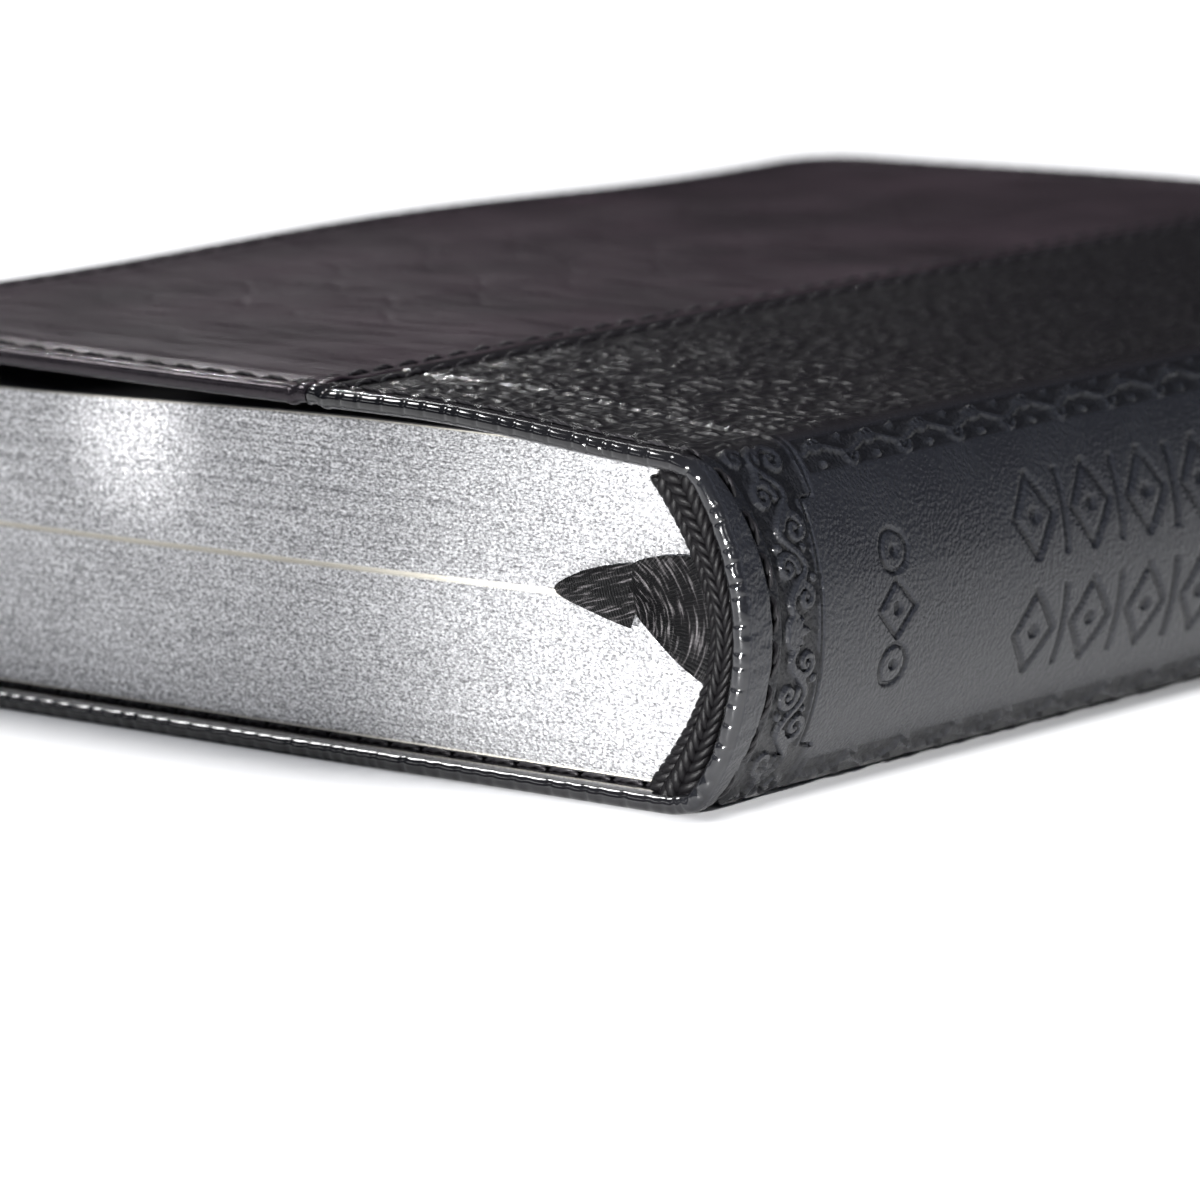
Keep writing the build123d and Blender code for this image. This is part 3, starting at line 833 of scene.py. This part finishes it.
def twisted_stitch():
    """Points along u, across v and up n, and faces, of one stitch: two plies laid round each other."""
    rings, sides = 10, 6
    points, faces = [], []
    for ply in (0.0, math.pi):
        first = len(points)
        for i in range(rings):
            t = i / (rings - 1)
            arch = math.sin(math.pi * t) ** 0.6
            turn = ply + 2.4 * math.pi * t
            u = STITCH_LENGTH * (t - 0.5)
            v = 0.17 * math.cos(turn) * arch
            n = 0.30 * arch - 0.16 + 0.1 * math.sin(turn) * arch
            radius = 0.09 + 0.14 * arch
            for k in range(sides):
                angle = 2 * math.pi * k / sides
                points.append((u, v + radius * math.cos(angle), n + radius * math.sin(angle)))
        for i in range(rings - 1):
            for k in range(sides):
                a, b = first + i * sides + k, first + i * sides + (k + 1) % sides
                faces.append([a, b, b + sides, a + sides])
        faces.append([first + k for k in range(sides)][::-1])
        faces.append([first + (rings - 1) * sides + k for k in range(sides)])
    return np.array(points), faces


STITCH = twisted_stitch()


def stitch_row(path, lift=0.0, under=False):
    """Points and faces of stitches along path, a list of (s, y) points on the leather."""
    path = np.array(path)
    lengths = np.concatenate([[0], np.cumsum(np.linalg.norm(np.diff(path, axis=0), axis=1))])
    count = max(1, int(lengths[-1] / STITCH_PITCH))
    pitch = lengths[-1] / count
    shape, shape_faces = STITCH
    points, faces = [], []
    for index in range(count):
        run = (index + 0.5) * pitch + shape[:, 0]
        ahead = np.clip(run, 0, lengths[-1])
        s, y = np.interp(ahead, lengths, path[:, 0]), np.interp(ahead, lengths, path[:, 1])
        mid = (index + 0.5) * pitch
        a = np.array([np.interp(mid - 0.3, lengths, path[:, n]) for n in (0, 1)])
        b = np.array([np.interp(mid + 0.3, lengths, path[:, n]) for n in (0, 1)])
        along = (b - a) / np.linalg.norm(b - a)
        side = np.array([-along[1], along[0]])
        s, y = s + shape[:, 1] * side[0], y + shape[:, 1] * side[1]
        up = -shape[:, 2] if under else shape[:, 2]
        point = leather_point(s, y, lift + up - (0 if under else 0.12))[0]
        first = index * len(shape)
        points.append(point)
        faces += [[first + v for v in face] for face in shape_faces]
    return np.concatenate(points), faces


def joined(parts):
    points, faces, first = [], [], 0
    for part_points, part_faces in parts:
        points.append(part_points)
        faces += [[first + v for v in face] for face in part_faces]
        first += len(part_points)
    return np.concatenate(points), faces


def border_path(fold_s, sign, inset):
    """Stitch line from the fold out along the head, down the fore-edge and back along the tail of one cover."""
    reach = COVER_WIDTH - CORNER
    half = HALF - CORNER
    radius = CORNER - inset
    turn = np.linspace(0.05, math.pi / 2, 12)
    path = [(t, -HALF + inset) for t in np.linspace(0, reach, 60)]
    path += [(reach + radius * math.sin(a), -half - radius * math.cos(a)) for a in turn]
    path += [(reach + radius, y) for y in np.linspace(-half + 1, half, 60)]
    path += [(reach + radius * math.cos(a), half + radius * math.sin(a)) for a in turn]
    path += [(t, HALF - inset) for t in np.linspace(reach - 1, 0, 60)]
    return [(fold_s + sign * across, along) for across, along in path]


def shoulder_path(low_s, high_s, side):
    s = np.linspace(low_s, high_s, 60)
    return list(zip(s, side * (HALF - stitch_inset(s))))


def build_stitching():
    def shoulders(low_s, high_s):
        return [stitch_row(shoulder_path(low_s, high_s, side)) for side in (-1, 1)]

    y = np.linspace(-HALF + 0.9, HALF - 0.9, 60)
    front = [stitch_row(border_path(0.0, -1, STITCH_INSET))] + shoulders(0.3, FRONT_CUT_S)
    seam = [stitch_row([(SEAM_S + side * SEAM_ROW, at) for at in y]) for side in (-1, 1)]
    back = [stitch_row(border_path(ARC, 1, STITCH_INSET))] + shoulders(BACK_CUT_S, ARC - 0.3)
    back.append(stitch_row(border_path(ARC + 3.0, 1, STITCH_INSET)[:-4], -LEATHER - 0.05, True))
    for name, parts, motion, nodes in (
        ("front_border_stitches", front, blend_front, ["front_border_stitching"]),
        ("front_seam_stitches", seam, "front_cover", ["front_seam_stitching"]),
        (
            "spine_cap_stitches",
            shoulders(FRONT_CUT_S, BACK_CUT_S),
            blend_opening,
            ["rear_spine_stitching", "front_spine_stitching"],
        ),
        ("back_border_stitches", back, blend_back, ["back_border_stitching"]),
    ):
        settle(make(name, *joined(parts), THREAD), motion, "cover_thread", *nodes)


# ---------------------------------------------------------------- page block
LEAF_LOW, LEAF_HIGH = box_mm("rear_opening_leaf")
LEAF_WIDTH = LEAF_HIGH[0] - LEAF_LOW[0]
BACK_R = LEAF_HIGH[0] - SPINE_CX
BLOCK_LOW_Z, BLOCK_HIGH_Z = 2.1, THICK - 2.1
PAGE_CORNER = 6.0
STRIP_LOW, STRIP_HIGH = box_mm("ribbon_strip")
GAP_HALF = 0.12


def back_x(z):
    return SPINE_CX + np.sqrt(BACK_R**2 - (z - MID) ** 2)


def mid_lift(x):
    return np.interp(x, [-56, -13, 10, 36, 45, 52, 57.5], [0.9, 1.2, 1.5, 1.95, 1.65, 0.7, 0.0])


def top_lift(x):
    return 1.55 * smooth((53.5 - x) / 16.0) * (1 - 0.95 * smooth((22 - x) / 60.0))


def block_lift(x, z):
    """How far the swollen block stands above flat at a point of it."""
    low = mid_lift(x) * np.clip((z - BLOCK_LOW_Z) / (MID - BLOCK_LOW_Z), 0, 1)
    high = mid_lift(x) + (top_lift(x) - mid_lift(x)) * (z - MID) / (BLOCK_HIGH_Z - MID)
    return np.where(z < MID, low, high)


def ribbon_dip(x, z):
    """The pages under the ribbon give way to it."""
    window = smooth((x - STRIP_LOW[0] + 1.6) / 1.2) * smooth((STRIP_HIGH[0] + 1.6 - x) / 1.2)
    return -0.34 * window * smooth((z - MID + 2.5) / 2.0) * (z < MID)


def page_inset(y, radius, half):
    over = np.maximum(np.abs(y) - (half - radius), 0)
    return radius - np.sqrt(np.maximum(radius**2 - over**2, 0))


def block_points(t, y, z):
    left = back_x(z) - LEAF_WIDTH + page_inset(y, PAGE_CORNER, BLOCK_HALF)
    x = left + t * (back_x(z) - 0.25 - left)
    return np.stack([x, y + 0 * x, z + block_lift(x, z) + ribbon_dip(x, z)], -1)


def half_block(name, low_z, high_z, seed):
    generator = np.random.default_rng(seed)
    columns, rows = int(200 * FINE), int(90 * FINE)
    t = np.linspace(0, 1, columns)
    y = BLOCK_HALF * np.sin(np.linspace(-1, 1, rows) * math.pi / 2 * 0.999) / math.sin(math.pi / 2 * 0.999)
    tt, yy = np.meshgrid(t, y)
    points = [block_points(tt, yy, np.full_like(tt, high_z)).reshape(-1, 3)]
    faces = grid_faces(rows, columns)
    i, j = rim_loop(rows, columns)
    away = np.zeros((len(i), 2))
    away[i == 0] = (0, -1)
    away[i == rows - 1] = (0, 1)
    fore = (j == 0) & (i > 0) & (i < rows - 1)
    over = np.maximum(np.abs(y[i]) - (BLOCK_HALF - PAGE_CORNER), 0) / PAGE_CORNER
    away[fore, 0] = -np.sqrt(1 - over[fore] ** 2)
    away[fore, 1] = np.sign(y[i][fore]) * over[fore]
    levels = np.linspace(high_z, low_z, int(64 * FINE))
    page = [np.ones(rows * columns)]
    previous = i * columns + j
    wander = np.zeros(len(i))
    for z in levels[1:-1]:
        wander = 0.75 * wander + generator.normal(0, 0.012, len(i))
        ragged = generator.normal(0, 0.03) + wander
        point = block_points(t[j], y[i], np.full(len(i), z))
        point[:, :2] += away * np.clip(ragged, -0.09, 0.09)[:, None]
        first = sum(len(p) for p in points)
        points.append(point)
        page.append(np.zeros(len(i)))
        now = first + np.arange(len(i))
        faces += ring_faces(previous, now)
        previous = now
    first = sum(len(p) for p in points)
    points.append(block_points(tt, yy, np.full_like(tt, low_z)).reshape(-1, 3))
    page.append(np.ones(rows * columns))
    faces += [face[::-1] for face in grid_faces(rows, columns, first)]
    faces += ring_faces(previous, first + i * columns + j)
    return make(name, np.concatenate(points), faces, SILVER, masks={"Page": np.concatenate(page)}, sharp=50)


def leaf_sheet(name, z, thickness, material):
    """One thin leaf lying in the block at height z."""
    columns, rows = 90, 60
    y = np.linspace(-1, 1, rows) * (BLOCK_HALF - 0.02)
    tt, yy = np.meshgrid(np.linspace(0.0005, 0.9995, columns), y)
    leaf = block_points(tt, yy, np.full_like(tt, z)).reshape(-1, 3)
    up = np.array([0, 0, thickness / 2])
    return make(name, np.concatenate([leaf + up, leaf - up]), slab_faces(rows, columns), material, sharp=50)


def build_pages():
    rear = half_block("rear_page_block", BLOCK_LOW_Z + 0.1, MID - GAP_HALF, 21)
    front = half_block("front_page_block", MID + GAP_HALF, BLOCK_HIGH_Z - 0.1, 22)
    for end, block in (("rear", rear), ("front", front)):
        settle(block, f"{end}_half", "silvered_pages", *[f"{end}_section_{n}" for n in range(1, 7)])

    def turns(near, far, start_x, end_x):
        return bends(near, far, (start_x * MM, 0, 0), (end_x * MM, 0, 0))

    rear_turn = turns("rear_half", "rear_opening_leaf", 56, 20)
    front_turn = turns("rear_half", "front_opening_leaf", 56, 40)
    flyleaf_turn = turns("front_half", "front_flyleaf", 53, 40)
    for name, z, thickness, material, slot, motion, node in (
        ("rear_leaf", MID - 0.055, 0.09, LEAF, "leaf_paper", rear_turn, "rear_opening_leaf"),
        ("front_leaf", MID + 0.055, 0.09, LEAF, "leaf_paper", front_turn, "front_opening_leaf"),
        ("front_flyleaf_sheet", BLOCK_HIGH_Z - 0.02, 0.1, ENDPAPER, "endpaper", flyleaf_turn, "front_flyleaf"),
        ("rear_flyleaf_sheet", BLOCK_LOW_Z + 0.02, 0.1, ENDPAPER, "endpaper", "rear_half", "rear_flyleaf"),
    ):
        settle(leaf_sheet(name, z, thickness, material), motion, slot, node)


def build_gutter():
    """The folded sheet in the middle of the block, at the gutter."""
    half_gap, fold_x, edge_x = 0.13, 57.0, 50.0
    turn = np.linspace(-math.pi / 2, math.pi / 2, 13)[1:-1]
    run = np.linspace(edge_x, fold_x, 8)
    x = np.concatenate([run, fold_x + 0.05 + 0.2 * np.cos(turn), run[::-1]])
    z = np.concatenate([np.full(8, -half_gap), half_gap * np.sin(turn), np.full(8, half_gap)])
    y = np.linspace(-BLOCK_HALF + 0.05, BLOCK_HALF - 0.05, 40)
    xx, yy = np.meshgrid(x, y)
    outer = np.stack([xx, yy, MID + z[None] + mid_lift(xx)], -1).reshape(-1, 3)
    inner = np.stack([xx - 0.05, yy, MID + 0.6 * z[None] + mid_lift(xx)], -1).reshape(-1, 3)
    fold = make("gutter_fold", np.concatenate([outer, inner]), slab_faces(*xx.shape), LEAF)
    low, high = (0, 0, (MID - 0.1) * MM), (0, 0, (MID + 2.1) * MM)
    settle(fold, bends("rear_half", "front_half", low, high), "leaf_paper")


# ---------------------------------------------------------------- end bands
def tube(path, radii, sides=8):
    """Closed tube along path."""
    path = np.asarray(path, float)
    tangent = np.gradient(path, axis=0)
    tangent /= np.linalg.norm(tangent, axis=1, keepdims=True)
    helper = np.array([0.31, 0.83, 0.46])
    side = np.cross(tangent, helper)
    side /= np.linalg.norm(side, axis=1, keepdims=True)
    up = np.cross(side, tangent)
    angles = np.linspace(0, 2 * math.pi, sides, endpoint=False)
    offset = side[:, None] * np.cos(angles)[None, :, None] + up[:, None] * np.sin(angles)[None, :, None]
    points = (path[:, None] + offset * np.asarray(radii)[:, None, None]).reshape(-1, 3)
    faces = []
    for i in range(len(path) - 1):
        for k in range(sides):
            a, b = i * sides + k, i * sides + (k + 1) % sides
            faces.append([a, a + sides, b + sides, b])
    faces.append(list(range(sides)))
    faces.append([(len(path) - 1) * sides + k for k in range(sides)][::-1])
    return points, faces


BAND_ROPES = 3


def band_edge(z):
    """x of the band's side towards the pages."""
    return 54.9 - 6.4 * np.abs((z - MID) / 13.5) ** 1.75


def build_bands():
    z = np.linspace(2.5, 29.3, 260)
    run = np.concatenate([[0], np.cumsum(np.hypot(np.diff(z), np.diff(band_edge(z))))])
    slope = np.gradient(band_edge(z), z)
    outward = np.stack([np.ones_like(z), -slope], -1) / np.hypot(1, slope)[:, None]
    room = 2.1 + 2.1 * (np.abs(z - MID) / 13.4) ** 2

    def band_line(across, y):
        return np.stack([band_edge(z) + across * outward[:, 0], y, z + across * outward[:, 1]], -1)

    for end, name in ((-1, "head"), (1, "tail")):
        parts = []
        for rope in range(BAND_ROPES):
            step = room / BAND_ROPES
            size = step * 0.8
            offset = (rope + 0.5) * step
            hand = 1 if rope % 2 else -1
            for ply in range(3):
                turn = hand * 2 * math.pi * run / 3.1 + ply * 2 * math.pi / 3 + rope
                across = offset + 0.42 * size * np.cos(turn)
                out = 0.75 + 0.42 * size * np.sin(turn) + 0.25 * (rope == 1)
                parts.append(tube(band_line(across, end * (BLOCK_HALF + out)), size * 0.56 + 0 * z, 7))
        core = band_line(0.55 * room, np.full_like(z, end * (BLOCK_HALF + 0.1)))
        parts.append(tube(core, 0.34 * room, 10))
        band = make(f"{name}_band_braid", *joined(parts), BRAID)
        settle(band, blend_opening, "end_band", f"rear_{name}_band", f"front_{name}_band")


# ---------------------------------------------------------------- ribbon
RIBBON_THICK = 0.22
RIBBON_X = FOLD_X - 16.0


def cloth_sheet(name, grid, uv, thickness=RIBBON_THICK):
    """A closed thin ribbon over a grid of points."""
    rows, columns = grid.shape[:2]
    du = np.gradient(grid, axis=1)
    dv = np.gradient(grid, axis=0)
    normal = np.cross(du, dv)
    normal /= np.maximum(np.linalg.norm(normal, axis=-1, keepdims=True), 1e-9)
    top, low = grid + normal * thickness / 2, grid - normal * thickness / 2
    points = np.concatenate([top.reshape(-1, 3), low.reshape(-1, 3)])
    uv = np.concatenate([uv.reshape(-1, 2)] * 2)
    return make(name, points, slab_faces(rows, columns), RIBBON, uv, sharp=60)


def curve_through(knots, count):
    """Smooth curve through the knots, by their chord lengths."""
    knots = np.array(knots, float)
    at = np.concatenate([[0], np.cumsum(np.linalg.norm(np.diff(knots, axis=0), axis=1))])
    tangents = np.gradient(knots, at, axis=0)
    t = np.linspace(0, at[-1], count)
    k = np.clip(np.searchsorted(at, t, side="right") - 1, 0, len(at) - 2)
    h = (at[k + 1] - at[k])[:, None]
    u = ((t - at[k]) / (at[k + 1] - at[k]))[:, None]
    return (
        (2 * u**3 - 3 * u**2 + 1) * knots[k]
        + (u**3 - 2 * u**2 + u) * h * tangents[k]
        + (-2 * u**3 + 3 * u**2) * knots[k + 1]
        + (u**3 - u**2) * h * tangents[k + 1]
    )


def lofted(upper, lower, across, pleat, belly, seed):
    """Cloth between two edge curves, with pleats that run along it."""
    generator = np.random.default_rng(seed)
    count = 60
    top, bottom = curve_through(upper, count), curve_through(lower, count)
    t = np.linspace(0, 1, count)[None]
    v = np.linspace(0, 1, across)[:, None]
    grid = top[None] * (1 - v[..., None]) + bottom[None] * v[..., None]
    phase = generator.uniform(0, 6, 3)
    folds = sum(np.sin(2 * math.pi * f * v + p + 2.2 * t) / f for f, p in zip((1.5, 3.0, 5.5), phase))
    grid[..., 1] -= pleat * folds * np.sin(math.pi * np.clip(t * 1.1, 0, 1))
    grid[..., 1] -= belly * np.sin(math.pi * v) * np.sin(math.pi * t)
    return grid


def build_ribbon_head():
    """The ribbon over the head of the pages: a loose flap, and the turn that comes out from the end band.

    Knots are x from RIBBON_X, y from the head end of the block, and z. Threads run along the flap, and
    round thread_centre on the turn.
    """
    flap_edges = (
        [(-1.1, 0.6, 17.97), (0.4, -0.5, 18.85), (3.2, -1.1, 20.2), (7.0, -1.8, 21.35), (11.4, -1.5, 22.0)],
        [(-1.1, 0.6, 17.93), (1.4, -0.5, 17.52), (4.2, -1.2, 17.02), (7.3, -1.7, 16.42), (9.3, -1.7, 16.0)],
    )
    turn_edges = (
        [(8.9, -0.6, 20.6), (10.2, -2.15, 22.0), (12.6, -1.9, 22.75), (15.2, -1.3, 22.95), (17.9, -0.6, 22.6)],
        [(9.2, -0.9, 18.6), (10.4, -2.1, 17.45), (12.2, -1.9, 15.6), (14.4, -1.3, 13.4), (17.4, -0.6, 11.2)],
    )
    place = [RIBBON_X, -BLOCK_HALF, 0]
    flap_tip, thread_centre = [RIBBON_X - 1.1, 17.95], [RIBBON_X + 8.4, 17.0]
    grid = lofted(*(np.array(edge) + place for edge in flap_edges), 28, 0.10, 0.35, 4)
    thread_axes = np.array([[-0.31, 0.95], [0.95, 0.31]])
    flap = cloth_sheet("ribbon_head_flap", grid, (grid[..., [0, 2]] - flap_tip) @ thread_axes)
    grid = lofted(*(np.array(edge) + place for edge in turn_edges), 40, 0.13, 0.5, 7)
    dx, dz = np.moveaxis(grid[..., [0, 2]] - thread_centre, -1, 0)
    turn = cloth_sheet("ribbon_head_turn", grid, np.stack([np.hypot(dx, dz), 6 * np.arctan2(dz, dx) + 40], -1))
    settle(flap, "rear_half", "ribbon_satin", "ribbon_loop")
    settle(turn, "rear_half", "ribbon_satin")


def build_ribbon_marker():
    """The ribbon's run between the pages and its tail, which droops and ends in a notch."""
    tail_low, tail_high = box_mm("ribbon_tail")
    drop = STRIP_LOW[2] - tail_low[2]
    reach = tail_high[1] - BLOCK_HALF
    centre = (STRIP_LOW[2] + STRIP_HIGH[2]) / 2
    p = np.linspace(0, 1, 60)
    flat_y = np.linspace(-BLOCK_HALF + 0.5, BLOCK_HALF, 120)[:-1]
    y = np.concatenate([flat_y, BLOCK_HALF + reach * np.sin(p * math.pi / 2 * 0.96)])
    z = np.concatenate([np.full(len(flat_y), centre), centre - (drop - 0.3) * p**1.7])
    x = np.linspace(STRIP_LOW[0], STRIP_HIGH[0], 14)
    yy, xx = np.meshgrid(y, x)
    zz = z[None] + mid_lift(xx) * smooth((BLOCK_HALF + 6 - yy) / 6.0)
    out = smooth((yy - BLOCK_HALF) / 8.0)
    zz = zz + out * 0.35 * np.sin((xx - x[0]) * 0.9 + yy * 0.25)
    from_middle = np.abs(xx - x.mean()) / 3.25
    notch_start = BLOCK_HALF + reach * 0.6
    yy = yy - out * 1.8 * (1 - from_middle) * smooth((yy - notch_start) / (reach * 0.4))
    marker = cloth_sheet("ribbon_marker", np.stack([xx, yy, zz], -1), np.stack([xx - x[0], yy], -1), 0.2)
    low, high = (0, BLOCK_HALF * MM, 0), (0, (BLOCK_HALF + 3) * MM, 0)
    settle(marker, bends("ribbon_strip", "ribbon_tail", low, high), "ribbon_satin", "ribbon_strip", "ribbon_tail")


def finish_hidden_parts():
    """The card, mull and sewing behind the block keep their CAD shapes and take their own materials."""
    for half in ("rear", "front"):
        for node, material in (("spine_inlay", CARD), ("mull", MULL), ("sewing", SEWING)):
            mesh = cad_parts[f"{half}_{node}"].data
            mesh.materials.clear()
            mesh.materials.append(material)


build_leather()
build_linings()
build_stitching()
build_pages()
build_gutter()
build_bands()
build_ribbon_head()
build_ribbon_marker()
finish_hidden_parts()

# ---------------------------------------------------------------- floor, camera and light
CAMERA_AZIMUTH, CAMERA_ELEVATION = 37.969, 10.352
CAMERA_PLACE = (473.88, -636.58, 146.006)
BOOK_CENTRE = Vector((0.03, -0.06, 0.02))


def build_floor():
    g = Graph("pale_floor")
    g.finish((0.86, 0.86, 0.865), 0.6, Specular_IOR_Level=0.2)
    size = 9000.0
    corners = [(-size, -size, 0), (size, -size, 0), (size, size, 0), (-size, size, 0)]
    floor = make("floor", corners, [[0, 1, 2, 3]], g.material)
    return floor


def keep_floor_below(floor):
    """The floor drops under whichever body reaches lowest in a pose."""
    corners = {
        "back_cover": (COVER_LOW[0], FOLD_X, 0.0),
        "rear_half": (FOLD_X, SPINE_X, 0.0),
        "front_half": (FOLD_X, SPINE_X, THICK),
        "front_cover": (COVER_LOW[0], FOLD_X - 20.0, THICK + WARP_RISE),
    }
    driver = floor.driver_add("location", 2).driver
    driver.type = "MIN"
    for body, (low_x, high_x, z) in corners.items():
        for thick in (0.0, LEATHER if z < MID else -LEATHER):
            for x in (low_x, high_x):
                for y in (-HALF, HALF):
                    marker = bpy.data.objects.new("floor_marker", None)
                    bpy.context.scene.collection.objects.link(marker)
                    marker.location = Vector((x, y, z + thick)) * MM
                    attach(marker, body)
                    variable = driver.variables.new()
                    variable.type = "TRANSFORMS"
                    variable.targets[0].id = marker
                    variable.targets[0].transform_type = "LOC_Z"
                    variable.targets[0].transform_space = "WORLD_SPACE"


def build_camera():
    camera = bpy.data.cameras.new("camera")
    camera.lens = 243.8
    camera.sensor_width = 36.0
    camera.clip_start = 0.01
    camera.clip_end = 100.0
    holder = bpy.data.objects.new("camera", camera)
    bpy.context.scene.collection.objects.link(holder)
    azimuth, elevation = math.radians(CAMERA_AZIMUTH), math.radians(CAMERA_ELEVATION)
    level = math.cos(elevation)
    back = Vector((math.sin(azimuth) * level, -math.cos(azimuth) * level, math.sin(elevation)))
    holder.location = Vector(CAMERA_PLACE) * MM
    holder.rotation_euler = back.to_track_quat("Z", "Y").to_euler()
    camera.dof.use_dof = True
    camera.dof.aperture_fstop = 36.0
    near = bpy.data.objects.new("focus", None)
    bpy.context.scene.collection.objects.link(near)
    near.location = Vector((FOLD_X - 6.0, -HALF + 6.0, MID)) * MM
    camera.dof.focus_object = near
    bpy.context.scene.camera = holder


def add_light(kind, name, power, place, way):
    """A light at place that shines against way."""
    light = bpy.data.lights.new(name, kind)
    light.energy = power
    holder = bpy.data.objects.new(name, light)
    bpy.context.scene.collection.objects.link(holder)
    holder.location = place
    holder.rotation_euler = Vector(way).to_track_quat("Z", "Y").to_euler()
    return light, holder


def soft_light(name, direction, distance, size, power):
    way = Vector(direction).normalized()
    light, _ = add_light("AREA", name, power, BOOK_CENTRE + way * distance, way)
    light.shape = "RECTANGLE"
    light.size, light.size_y = size


def spot_light(name, place, target, cone, power):
    light, _ = add_light("SPOT", name, power, place, Vector(place) - Vector(target))
    light.spot_size = math.radians(cone)
    light.spot_blend = 1.0
    light.shadow_soft_size = 0.004


def build_lights():
    """Places and sizes in metres, cones in degrees."""
    sun, holder = add_light("SUN", "broad_overhead", 3.75, (0, 0, 0), (0.22, 0.2, 1.0))
    sun.angle = math.radians(24)
    holder.visible_glossy = False
    soft_light("back_left_strip", (-0.58, 0.5, 0.68), 1.6, (0.6, 0.07), 1.1)
    soft_light("left_box", (-0.62, -0.2, 0.76), 1.2, (0.2, 0.16), 4.0)
    soft_light("front_left_box", (-0.6, -0.68, 0.36), 1.2, (0.5, 0.06), 0.5)
    soft_light("front_right_box", (0.75, -0.5, 0.42), 1.2, (0.22, 0.22), 1.0)
    spot_light("edge_glow", (0.13, -0.40, 0.05), (0.072, -0.083, 0.010), 21.0, 17.0)
    spot_light("head_glint", (-0.45, 0.30, 0.42), (0.025, -0.062, 0.034), 14.0, 2.4)
    spot_light("edge_glint", (-0.10, -0.38, 0.10), (-0.0125, -0.083, 0.0265), 2.8, 5.0)


def build_world():
    """A dim studio room: dark behind and left of the book, soft grey on the right, white to the camera."""
    world = bpy.data.worlds.new("studio")
    bpy.context.scene.world = world
    world.use_nodes = True
    g = Nodes(world.node_tree)
    g.tree.nodes.clear()
    direction = g.node("ShaderNodeTexCoord").outputs["Generated"]
    split = g.node("ShaderNodeSeparateXYZ")
    g.link(direction, split.inputs[0])
    facing = g.node("ShaderNodeVectorMath", operation="DOT_PRODUCT")
    facing.inputs[1].default_value = (-0.62, 0.78, 0.0)
    g.link(direction, facing.inputs[0])
    height = g.ranged(split.outputs["Z"], -1.0, 1.0)
    below = (0.0, (0.5, 0.5, 0.5))
    dark = [(0.5, (0.012, 0.011, 0.013)), (0.62, (0.035, 0.032, 0.036)), (0.72, (0.05, 0.046, 0.052))]
    dark_side = g.ramp(height, [below] + dark + [(1.0, (0.12, 0.12, 0.135))])
    light = [(0.5, (0.04, 0.043, 0.055)), (0.62, (0.065, 0.075, 0.105))]
    light_side = g.ramp(height, [below] + light + [(1.0, (0.13, 0.14, 0.165))])
    share = g.ramp(g.ranged(facing.outputs["Value"], -1.0, 1.0), [(0.55, (0, 0, 0)), (0.85, (1, 1, 1))])
    room, seen = g.node("ShaderNodeBackground"), g.node("ShaderNodeBackground")
    g.link(g.mix(share, light_side, dark_side), room.inputs["Color"])
    seen.inputs["Color"].default_value = (1, 1, 1, 1)
    choice = g.node("ShaderNodeMixShader")
    g.link(g.node("ShaderNodeLightPath").outputs["Is Camera Ray"], choice.inputs[0])
    g.link(room.outputs[0], choice.inputs[1])
    g.link(seen.outputs[0], choice.inputs[2])
    g.link(choice.outputs[0], g.node("ShaderNodeOutputWorld").inputs["Surface"])


keep_floor_below(build_floor())
build_camera()
build_world()
build_lights()
bpy.context.scene.view_settings.view_transform = "Standard"
